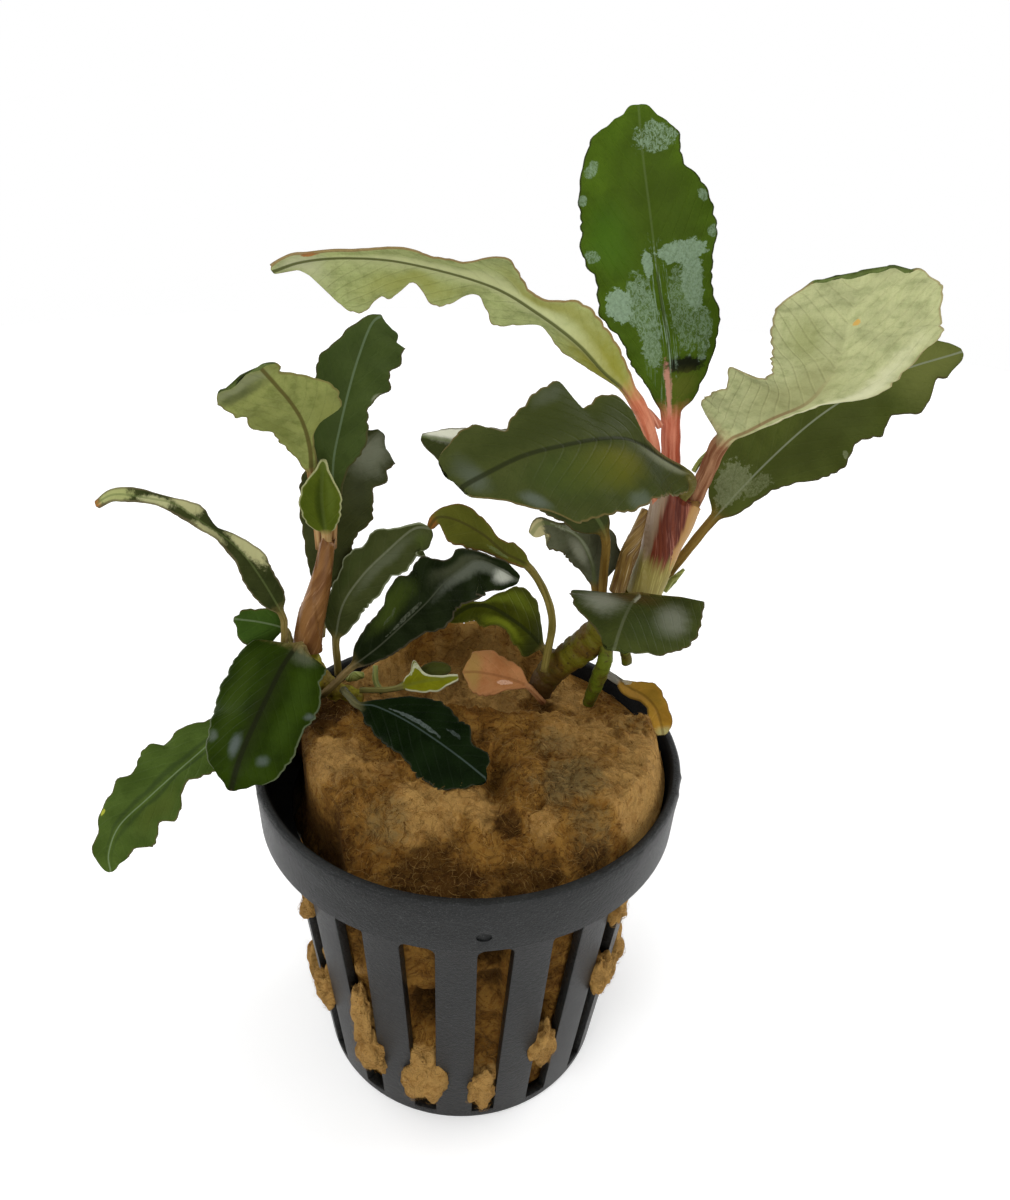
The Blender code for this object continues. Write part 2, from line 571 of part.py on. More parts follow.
         [(-90, 5)], [20], 0.6, LEAF_GREEN),
    Leaf("leaf_left_inner", [(-18.6, 10.9, 53.0)],
         [(-18.6, 10.8, 56.5), (-17.4, 10.4, 62.0), (-14.9, 10.8, 66.1), (-11.7, 11.3, 69.6),
          (-8.2, 11.5, 72.9), (-5.7, 11.5, 73.0)],
         Margin([1.0, 1.8, 2.0, 2.2, 2.4, 3.1, 2.5, 3.0, 1.35, 0.5, 0.2], [0.5, 0.7], 0.3),
         Margin([0.7, 1.6, 2.35, 2.6, 2.95, 3.0, 2.6, 3.4, 2.9, 3.6, 2.2], [0.5, 0.85], -0.3),
         [(-100, 20), (-95, 35)], [0], 0.5, LEAF_GREEN),
    Leaf("leaf_left_glossy", [(-19.6, 4.9, 51.4), (-18.0, 5.5, 52.9)],
         [(-15.9, 6.3, 55.0), (-12.4, 6.5, 58.2), (-9.2, 6.3, 61.8), (-6.2, 5.8, 65.4), (-4.0, 5.5, 68.5),
          (-1.7, 5.0, 70.9), (0.7, 5.0, 72.2), (5.3, 5.0, 69.8)],
         Margin([0.4, 1.4, 2.2, 2.7, 3.05, 3.1, 3.3, 4.4, 5.0, 4.9, 4.4,
                 4.3, 4.45, 2.7, 1.8, 2.5, 1.2, 0.8, 1.1, 1.0, 0.4], [0.4, 0.6], 0.3),
         Margin([0.4, 1.15, 1.8, 2.25, 2.6, 3.8, 3.6, 4.0, 4.3, 3.1, 0.5], [0.5, 0.8], -0.4),
         [(-100, 25), (-95, 50), (-90, 50)], [0], 0.5, LEAF_DARK),
    Leaf("leaf_left_twisted", [(-24.4, 6.0, 58.0), (-24.3, 6.3, 60.5)],
         [(-24.5, 6.3, 62.7), (-26.8, 5.0, 69.4), (-28.9, 4.0, 73.2), (-32.2, 3.0, 76.6),
          (-34.6, 2.0, 79.2), (-37.3, 1.0, 80.3), (-40.6, 0.0, 81.0), (-42.7, -0.5, 79.9)],
         Margin([0.5, 1.5, 1.8, 1.5, 1.0, 1.3, 0.7, 1.0, 0.6, 0.8, 0.3], [0.25, 0.5, 0.75], 0.5),
         Margin([0.5, 1.4, 1.6, 1.8, 1.0, 0.9, 1.2, 0.6, 0.8, 0.6, 0.3], [0.38, 0.62, 0.88], 0.5),
         [(-70, 30), (-105, 45), (-80, 70), (-100, 45), (-90, 60)], [10], 0.45, LEAF_GREEN),
    Leaf("leaf_left_small", [(-24.4, 9.1, 57.2)],
         [(-25.0, 9.0, 58.8), (-27.7, 7.9, 60.3), (-30.9, 6.8, 61.3)],
         Margin([0.4, 2.5, 3.2, 3.3, 2.6, 0.1], [0.5], 0.0),
         Margin([0.4, 1.4, 1.7, 1.4, 1.2, 0.1], [0.5], 0.0),
         [(-90, 36)], [0], 0.4, LEAF_GREEN),
    Leaf("leaf_left_drooping", [(-21.8, 5.4, 57.6)],
         [(-22.2, 4.5, 59.1), (-23.5, 1.4, 58.2), (-24.7, -3.0, 56.3), (-25.4, -7.0, 55.2),
          (-26.2, -10.0, 53.5), (-26.7, -12.0, 51.8), (-27.1, -13.0, 50.0)],
         Margin([4.5, 4.95, 4.95, 6.0, 6.2, 6.2, 5.6, 5.7, 5.2, 4.15, 0.2], [0.4, 0.7], -0.3),
         Margin([5.5, 6.1, 6.5, 6.4, 6.5, 6.05, 5.5, 5.2, 4.6, 3.0, 0.2], [0.35, 0.6, 0.85], 0.3),
         [(-100, 60), (-100, 50), (-100, 40)], [-8], 0.6, LEAF_DARK),
    Leaf("leaf_left_low", [(-24.0, 7.4, 51.2), (-26.2, 6.0, 50.9)],
         [(-29.0, 4.2, 49.8), (-34.2, 0.0, 45.8), (-36.9, -3.0, 44.3), (-40.3, -6.0, 41.9),
          (-43.0, -9.0, 40.0), (-44.0, -11.0, 37.3), (-43.7, -12.0, 35.1)],
         Margin([0.5, 1.2, 2.2, 3.0, 3.5, 3.6, 3.7, 3.4, 2.9, 2.1, 2.75,
                 4.3, 4.6, 3.6, 4.6, 5.0, 4.6, 3.2, 2.5, 2.4, 0.0], [0.3, 0.6, 0.76], -0.3),
         Margin([0.5, 1.0, 1.6, 2.1, 2.6, 3.6, 4.25, 4.4, 4.6, 5.5, 5.5,
                 5.0, 4.0, 4.7, 3.8, 3.6, 3.05, 1.95, 2.1, 1.5, 0.0], [0.3, 0.47, 0.66, 0.9], 0.4),
         [(-110, 60), (-110, 50), (-100, 40)], [0], 0.6, LEAF_GREEN),
    Leaf("leaf_left_on_wool", [(-15.4, 2.2, 53.0)],
         [(-14.2, 0.6, 53.1), (-12.0, -0.1, 53.6), (-8.0, -3.0, 53.9), (-4.0, -6.8, 54.1),
          (-0.4, -10.1, 53.8), (2.4, -12.7, 53.3)],
         Margin([0.4, 0.9, 2.5, 3.65, 4.3, 4.35, 3.8, 3.7, 2.1, 2.4, 0.6], [0.4, 0.75], 0.2),
         Margin([0.8, 2.4, 3.0, 3.65, 4.05, 4.2, 4.3, 4.9, 4.7, 4.0, 1.0], [0.3, 0.7], -0.2),
         [(-100, 75), (-100, 70)], [0], 0.5, LEAF_DARK),
    Leaf("leaf_left_curled", [(-12.6, 6.6, 51.4), (-11.2, 6.5, 51.6)],
         [(-9.3, 6.6, 52.1), (-6.7, 7.3, 52.6), (-4.2, 7.7, 52.9), (-2.0, 8.0, 53.1)],
         Margin([0.4, 1.0, 1.5, 2.9, 1.2, 0.6, 0.4, 0.3, 0.3, 0.3, 0.2], [0.5], 0.0),
         Margin([0.3, 0.7, 1.1, 1.4, 1.6, 1.65, 1.6, 1.3, 0.9, 0.6, 0.2], [0.5], 0.0),
         [(-90, 55)], [10], 0.4, LEAF_LIME),
    Leaf("leaf_left_oval", [(-8.8, 10.6, 50.6)],
         [(-7.5, 10.8, 51.6), (-5.2, 11.0, 52.2), (-3.2, 11.1, 52.2)],
         Margin([0.2, 0.7, 0.9, 0.9, 0.7, 0.1], [0.5], 0.0),
         Margin([0.2, 0.7, 0.9, 0.9, 0.7, 0.1], [0.5], 0.0),
         [(-90, 45)], [0], 0.35, LEAF_OLIVE),
]


def leaf_stations(leaf):
    """Lengths along the leaf at which its section is drawn, closer together on long blades."""
    blade_length = leaf.path.total - leaf.foot
    count = 7 if blade_length < 9 else 10 if blade_length < 20 else 14
    stalk = [leaf.foot * k / STALK_STATIONS for k in range(STALK_STATIONS)]
    shares = [0.012 + 0.96 * k / (count - 1) for k in range(count)] + [0.996]
    return stalk + [leaf.foot + blade_length * share for share in shares]


def leaf_section(leaf, length):
    """Eight points round the leaf: a round stalk that flattens into the blade."""
    centre, normal, leftwards = leaf.frame(length)
    share = leaf.blade_share(length)
    flat = smoothstep(share / FLAT_FROM)
    ring = []
    for k in range(8):
        turn = 2 * math.pi * k / 8
        sideways, upwards = math.cos(turn), math.sin(turn)
        across = (1.0, 0.55, 0.0, -0.55, -1.0, -0.55, 0.0, 0.55)[k]
        half_thick = (0.0, LEAF_THICKNESS, MIDRIB_THICKNESS, LEAF_THICKNESS)[k % 4] / 2
        rounded = centre + leaf.stalk_radius * (leftwards * sideways + normal * upwards)
        lift = half_thick if upwards > 0 else -half_thick
        narrowest = across * 0.25 * leftwards
        flattened = leaf.on_blade(length, across) + narrowest + normal * lift
        ring.append(rounded.lerp(flattened, flat))
    return ring


def build_leaf(leaf):
    surface = material(leaf.name, leaf.colour, 0.35)
    rings = [leaf_section(leaf, length) for length in leaf_stations(leaf)]
    return loft(leaf.name, rings, surface)


# Name, points, radii, colour
TUBES = [
    ("rhizome_right", [(8.7, 10.8, 49.0), (10.3, 11.0, 52.6), (13.4, 10.5, 56.3), (16.4, 10.0, 59.9),
                       (18.8, 9.0, 64.0), (20.4, 8.2, 66.4)], (1.7, 2.0, 2.2, 2.3, 2.2), STEM_OLIVE),
    ("rhizome_left", [(-22.3, 8.1, 55.4), (-21.0, 8.0, 51.8), (-18.6, 7.6, 49.6), (-14.8, 7.0, 49.2)],
     (1.7, 1.9, 1.9, 1.5), STEM_OLIVE),
    ("sheath_right", [(20.9, 8.0, 67.6), (22.8, 8.9, 74.0), (23.9, 9.5, 79.2)], (2.2, 2.4, 2.9),
     STEM_PINK),
    ("sheath_old", [(17.5, 6.4, 68.2), (18.7, 6.5, 74.0), (19.9, 7.3, 79.0)], (1.0, 1.1, 0.5),
     STEM_OLIVE),
    ("sheath_left", [(-21.9, 8.1, 56.6), (-21.1, 8.5, 61.4), (-19.6, 9.0, 67.1), (-18.9, 9.5, 71.2)],
     (1.9, 1.7, 1.3, 0.9), STEM_PINK),
    ("root_right_front", [(17.0, 7.9, 56.4), (16.5, 9.0, 52.7), (15.7, 9.8, 48.6)], (1.05, 0.95, 0.8),
     ROOT_GREEN),
    ("root_right_rear", [(20.9, 11.3, 62.4), (20.2, 12.0, 57.0), (20.7, 12.6, 53.7)], (0.7, 0.7, 0.7),
     ROOT_GREEN),
    ("sheath_pale", [(23.9, 9.4, 66.9), (24.8, 9.4, 68.4), (26.1, 9.8, 69.9)], (0.4, 0.5, 0.25),
     STEM_OLIVE),
    ("shoot_tip_pink", [(21.0, 10.6, 88.3), (19.5, 10.3, 90.0), (17.9, 10.0, 91.4)], (0.5, 0.4, 0.2),
     STEM_PINK),
    ("shoot_tip_green", [(25.4, 9.1, 83.4), (26.0, 9.2, 84.7), (26.8, 9.4, 86.0)], (0.3, 0.3, 0.2),
     ROOT_GREEN),
    ("bud_left", [(-17.4, 10.2, 50.4), (-16.2, 10.4, 50.9), (-15.0, 10.4, 51.1)], (0.5, 0.7, 0.5),
     ROOT_GREEN),
    ("root_left_loop", [(-13.5, 11.2, 52.2), (-13.3, 9.8, 50.6), (-12.3, 8.8, 49.4)], (0.35, 0.4, 0.4),
     ROOT_GREEN),
]


def main():
    clear_scene()
    build_pot(material("pot", POT_GREY, 0.5))
    build_wool(material("mineral_wool", WOOL_BROWN, 0.95))
    for name, points, radii, colour in TUBES:
        build_tube(name, points, radii, material(name, colour, 0.5))
    for leaf in LEAVES:
        build_leaf(leaf)


main()
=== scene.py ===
"""The looks of two small bucephalandra plants in a net pot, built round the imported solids.

Sizes are in millimetres and become metres where a mesh is made. The curves and widths of the leaves
and the sizes of the pot are the ones that the solids were made from, so every piece here lies on the
solid that it stands for, with finer margins, ribs, fibres and finishes.
"""

import math
from dataclasses import dataclass

import bmesh
import bpy
import numpy as np
from mathutils import Matrix, Vector, noise


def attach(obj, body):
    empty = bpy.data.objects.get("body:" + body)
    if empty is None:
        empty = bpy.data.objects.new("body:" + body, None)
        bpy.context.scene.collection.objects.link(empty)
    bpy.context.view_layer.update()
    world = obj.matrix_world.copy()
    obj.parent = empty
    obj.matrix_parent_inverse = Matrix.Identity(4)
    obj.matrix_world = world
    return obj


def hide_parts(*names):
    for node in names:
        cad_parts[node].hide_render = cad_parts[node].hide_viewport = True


MM = 0.001

# Camera: fitted to the outline of the pot in the photograph
LENS = 30.3
SENSOR = 36.0
CAMERA_AIM = (3.7, 0.0, 69.8)
CAMERA_DISTANCE = 119.0
CAMERA_RISE = 29.7
CAMERA_ROLL = 2.65

# Net pot
POT_HEIGHT = 48.0
RIM_RADIUS = 27.0
LEDGE = POT_HEIGHT - 7.5
COLLAR_FOOT_RADIUS = 26.7
BODY_TOP_RADIUS = 24.0
BASE_RADIUS = 19.5
WALL = 1.2
SLOT_COUNT = 16
SLOT_FIRST_ANGLE = -78.75
SLOT_WIDTH_ANGLE = 10.6
SLOT_BOTTOM = 1.6
SLOT_TOP = 37.0
SLOT_CORNER = 1.0
SLOT_HALF_WIDTH = 2.1
# From inside the wall to outside it, and from below the base to above it
SLOT_CUT_RADII = (15.0, 26.0)
DRAIN_CUT_HEIGHTS = (-1.0, 2.5)
DRAIN_COUNT = 8
DRAIN_INNER = 8.0
DRAIN_OUTER = 14.5
DRAIN_WIDTH = 2.4
DIMPLE_ANGLE = -83.25
DIMPLE_HEIGHT = 42.8
DIMPLE_RADIUS = 0.9
DIMPLE_DEPTH = 0.5
DIMPLE_SIDES = 20
POT_SEGMENTS = 192
POT_EDGE = 0.13

# Mineral wool
GAP = 0.3
WOOL_HOLLOW_HEIGHT = 46.5
WOOL_LUMP_HEIGHT = 52.2
WOOL_FLAP_HEIGHT = 53.6
WOOL_FLAP_RADIUS = 21.0
# Columns of points round the wool, and rows of them up its side and again over its top
WOOL_COLUMNS = 384
WOOL_ROWS = 74
DEEPEST_HOLLOW = -6.0
# Rows of the wool's mesh that carry no fibres: its side and hidden step, and the middle of its top
WOOL_SIDE_ROWS = 80
WOOL_MIDDLE_ROWS = 6
WOOL_SEED = 5
TOP_FIBRES = 3800
TUFT_FIBRES = 1500
# A direction that no fibre follows, from which their sections are turned
STRAND_GUIDE = (0.31, 0.57, 0.76)

# Leaves
LEAF_THICKNESS = 0.36
MIDRIB_THICKNESS = 0.62
# Share of the blade over which its round stalk has become flat
FLAT_FROM = 0.06
LEAF_SPECULAR = 0.02
# How far a stalk reaches into what it grows from, beyond its solid
STALK_SINK = 2.4
# Steps between the rows of a leaf's mesh and how many there may be
STALK_STEP = 0.5
BLADE_STEP = 0.36
FEWEST_STALK_ROWS = 4
FEWEST_BLADE_ROWS = 34
MOST_BLADE_ROWS = 120
# How far across the blade each column of a leaf's mesh lies, from the midrib to the margin
COLUMNS = (0.0, 0.035, 0.07, 0.12, 0.2, 0.3, 0.4, 0.5, 0.6, 0.7, 0.79, 0.87, 0.93, 0.97, 0.99, 1.0)
LEAF_SIDES = 4 * len(COLUMNS) - 4
# What stands for the distance to the margin where a stalk has none
FAR_FROM_MARGIN = 9.0
VEIN_SPACING = 2.3
VEIN_WIDTH = 0.3
# Width of the fading edge of a leaf's mark, of a painted sheen patch and of a painted sheen streak, as
# shares of the mark's radius
MARK_EDGE = 1.4
PAINTED_SHEEN_EDGE = 0.14
SHEEN_STREAK_EDGE = 0.6

FLOOR_RADIUS = 420.0
FLOOR_SIDES = 96
FLOOR_GLOW = 0.28
WORLD_STRENGTH = 0.30
# Lights: name, place, what it aims at, size (metres), watts
LIGHTS = [
    ("overhead", (0.05, 0.05, 0.75), (0, 0, 0.05), 0.75, 1.6),
    ("key", (-0.30, -0.48, 0.62), (0, 0, 0.07), 0.4, 2.6),
    ("front", (0.20, -0.68, 0.14), (0, 0, 0.06), 0.5, 2.4),
    ("left_back", (-0.55, 0.30, 0.22), (0, 0, 0.05), 0.6, 2.4),
    ("right_back", (0.55, 0.30, 0.22), (0, 0, 0.05), 0.6, 3.2),
]

# Points of a smooth curve between two given ones
SPAN = 16

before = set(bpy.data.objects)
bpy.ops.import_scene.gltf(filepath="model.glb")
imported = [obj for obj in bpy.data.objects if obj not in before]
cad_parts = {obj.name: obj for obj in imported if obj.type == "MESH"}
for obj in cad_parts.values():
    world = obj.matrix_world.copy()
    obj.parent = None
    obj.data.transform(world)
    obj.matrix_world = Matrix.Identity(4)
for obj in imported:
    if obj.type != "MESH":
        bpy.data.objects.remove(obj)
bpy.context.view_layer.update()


# Small helpers

def smoothstep(value):
    value = min(max(value, 0.0), 1.0)
    return value * value * (3.0 - 2.0 * value)


def on_circle(radius, angle, height=0.0):
    turned = math.radians(angle)
    return Vector((radius * math.cos(turned), radius * math.sin(turned), height))


def rough(point, scale, seed=0.0):
    """Smooth noise between about -1 and 1 at a point in millimetres."""
    return noise.noise(Vector(point) * scale + Vector((seed, seed * 1.7, -seed)))


def ring_faces(rows, sides, start=0, closed=True):
    """The faces between rings of points, with both ends where they are closed."""
    faces = []
    for low in range(start, start + (rows - 1) * sides, sides):
        high = low + sides
        for k in range(sides):
            after = (k + 1) % sides
            faces.append((low + k, low + after, high + after, high + k))
    last = start + (rows - 1) * sides
    if closed:
        faces += [tuple(reversed(range(start, start + sides))), tuple(range(last, last + sides))]
    return faces


def column_faces(columns, count):
    """The faces between columns of points that stand round an axis, with both ends closed."""
    faces = []
    for k in range(columns):
        this, after = k * count, (k + 1) % columns * count
        faces += [(this + row, after + row, after + row + 1, this + row + 1) for row in range(count - 1)]
    faces.append(tuple(k * count for k in reversed(range(columns))))
    faces.append(tuple(k * count + count - 1 for k in range(columns)))
    return faces


def add_object(name, data):
    made = bpy.data.objects.new(name, data)
    bpy.context.scene.collection.objects.link(made)
    return made


def add_mesh(name, points, faces, surfaces, fields=None, face_surface=None, smooth=True):
    """A mesh from points in millimetres. fields are values kept per point for the materials to read."""
    points = np.asarray(points, float)
    first, second, third = (points[[face[k] for face in faces]] for k in range(3))
    if np.einsum("ij,ij->", first, np.cross(second, third)) < 0:
        faces = [tuple(reversed(face)) for face in faces]
    mesh = bpy.data.meshes.new(name)
    mesh.from_pydata((points * MM).tolist(), [], faces)
    for surface in surfaces:
        mesh.materials.append(surface)
    if face_surface:
        mesh.polygons.foreach_set("material_index", face_surface)
    for field, values in (fields or {}).items():
        values = np.asarray(values, np.float32)
        kind, key = ("FLOAT_VECTOR", "vector") if values.ndim == 2 else ("FLOAT", "value")
        mesh.attributes.new(field, kind, "POINT").data.foreach_set(key, values.ravel())
    if smooth:
        mesh.shade_smooth()
    mesh.update()
    return add_object(name, mesh)


def stand_for(piece, slot, *nodes):
    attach(piece, "root")
    if nodes:
        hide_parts(*nodes)


class Value:
    """A number or a vector in a material. Arithmetic on it adds the nodes that work it out."""

    def __init__(self, surface, socket):
        self.surface = surface
        self.socket = socket

    def math(self, operation, *others):
        kind = "VectorMath" if self.socket.type == "VECTOR" else "Math"
        output = 1 if operation == "LENGTH" else 0
        return self.surface.node(kind, dict(enumerate((self, *others))), output, operation=operation)

    def __add__(self, other):
        return self.math("ADD", other)

    def __sub__(self, other):
        return self.math("SUBTRACT", other)

    def __mul__(self, other):
        return self.math("MULTIPLY", other)

    def __abs__(self):
        return self.math("ABSOLUTE")

    def rise(self, low, high, top=1.0):
        """Goes smoothly from 0 to top as the value goes from low to high. low may be the larger one."""
        ends = (low, high, 0.0, top) if low < high else (high, low, top, 0.0)
        values = dict(enumerate((self, *ends)))
        return self.surface.node("MapRange", values, interpolation_type="SMOOTHSTEP")


class Surface:
    """A procedural material on one Principled shader. Its colour is painted layer by layer."""

    def __init__(self, name, roughness, specular):
        self.made = bpy.data.materials.new(name)
        self.made.use_nodes = True
        self.tree = self.made.node_tree
        self.shader = self.tree.nodes["Principled BSDF"].inputs
        self.put(self.shader["Roughness"], roughness)
        self.put(self.shader["Specular IOR Level"], specular)

    def put(self, socket, value):
        if isinstance(value, Value):
            self.tree.links.new(value.socket, socket)
        elif socket.type == "RGBA":
            socket.default_value = (*value, 1.0)
        else:
            socket.default_value = value

    def node(self, kind, values, output=0, **settings):
        made = self.tree.nodes.new("ShaderNode" + kind)
        for name, value in settings.items():
            setattr(made, name, value)
        for socket, value in values.items():
            self.put(made.inputs[socket], value)
        return Value(self, made.outputs[output])

    def field(self, name, output="Vector"):
        return self.node("Attribute", {}, output, attribute_name=name)

    def place(self):
        """Object coordinates in millimetres."""
        return self.node("TexCoord", {}, "Object") * (1 / MM, 1 / MM, 1 / MM)

    def parts(self, vector):
        made = self.node("SeparateXYZ", {0: vector}).socket.node
        return [Value(self, socket) for socket in made.outputs]

    def noise(self, where, scale, detail=2.0, roughness=0.5, distortion=0.0):
        values = {"Vector": where, "Scale": scale, "Detail": detail, "Roughness": roughness}
        return self.node("TexNoise", values | {"Distortion": distortion})

    def mixed(self, factor, first, second, blend="MIX"):
        return self.node("Mix", {0: factor, 6: first, 7: second}, 2, data_type="RGBA", blend_type=blend)

    def base(self, factor, first, second):
        self.colour = self.mixed(factor, first, second)

    def cover(self, factor, colour):
        """Lays a colour over the others where factor is 1."""
        self.colour = self.mixed(factor, self.colour, colour)

    def tone(self, factor, amount):
        """Multiplies the colour by amount where factor is 1."""
        self.colour = self.mixed(factor, self.colour, amount, "MULTIPLY")

    def finish(self, roughness=None, height=None, strength=0.9):
        """The material, with its roughness and with bumps from a height in millimetres."""
        self.put(self.shader["Base Color"], self.colour)
        if height:
            self.put(self.shader["Roughness"], roughness)
            bump = self.node("Bump", {"Strength": strength, "Distance": MM, "Height": height})
            self.put(self.shader["Normal"], bump)
        return self.made


# Curves and leaves, as in the solids

def curve(before, start, end, after, part):
    """A point part of the way from start to end, on a smooth curve through all four."""
    turn = (end - before) * part + (2 * before - 5 * start + 4 * end - after) * part**2
    return start + 0.5 * (turn + (3 * start - before - 3 * end + after) * part**3)


class Path:
    """A smooth curve that gives its points and directions at lengths along it."""

    def __init__(self, points):
        given = [np.array(point, float) for point in points]
        ends = [2 * given[0] - given[1]] + given + [2 * given[-1] - given[-2]]
        fours = zip(ends, ends[1:], ends[2:], ends[3:])
        self.line = np.array([curve(*four, k / SPAN) for four in fours for k in range(SPAN)] + [given[-1]])
        steps = np.linalg.norm(np.diff(self.line, axis=0), axis=1)
        self.lengths = np.concatenate([[0.0], np.cumsum(steps)])
        self.total = float(self.lengths[-1])

    def point(self, lengths):
        return np.stack([np.interp(lengths, self.lengths, self.line[:, k]) for k in range(3)], -1)

    def direction(self, lengths, reach=0.3):
        ahead = self.point(lengths + reach) - self.point(lengths - reach)
        return ahead / np.linalg.norm(ahead, axis=-1, keepdims=True)


def shared_out(values, shares):
    """Values at these shares of the way along a list of evenly spaced ones."""
    columns = np.atleast_2d(np.array(values, float).T)
    places = np.linspace(0.0, 1.0, columns.shape[1])
    return np.stack([np.interp(shares, places, column) for column in columns], -1)


def margin_wave(share, crests):
    """+1 on each crest, -1 half way between two crests and 0 at both ends of the blade."""
    knots = [(0.0, 0.0), (crests[0], 1.0)]
    for before, crest in zip(crests, crests[1:]):
        knots += [((before + crest) / 2, -1.0), (crest, 1.0)]
    knots.append((1.0, 0.0))
    for (start, low), (end, high) in zip(knots, knots[1:]):
        if share <= end:
            return low + (high - low) * smoothstep((share - start) / max(end - start, 1e-6))
    return 0.0


def margin_width(widths, share):
    """A smooth curve through evenly spaced widths, with a round end at the tip."""
    last = len(widths) - 1
    place = min(max(share, 0.0), 1.0) * last
    low = min(int(place), last - 1)
    start, end = widths[low:low + 2]
    if low == last - 1:
        return end + (start - end) * math.sqrt(1 - (place - low))
    return max(curve(widths[max(low - 1, 0)], start, end, widths[low + 2], place - low), 0.0)


def facing(azimuth, elevation):
    turn, rise = math.radians(azimuth), math.radians(elevation)
    return (math.cos(rise) * math.cos(turn), math.cos(rise) * math.sin(turn), math.sin(rise))


class Leaf:
    """A stalk and a blade along one curve, with a left and a right margin.

    Each margin has its widths from the midrib, evenly spaced from the blade's foot to its tip, the
    shares of the blade at which its waves rise, and how high they rise.
    faces: where the upper side looks, as azimuth and elevation, from the blade's foot to its tip.
    cup: how far each half folds towards the upper side, in degrees, from foot to tip.
    """

    def __init__(self, name, stalk, blade, left, right, faces, cup, stalk_radius):
        self.name = name
        self.path = Path(stalk + blade)
        self.foot = float(self.path.lengths[SPAN * len(stalk)])
        self.left = left
        self.right = right
        self.faces = [facing(*face) for face in faces]
        self.cup = cup
        self.stalk_radius = stalk_radius


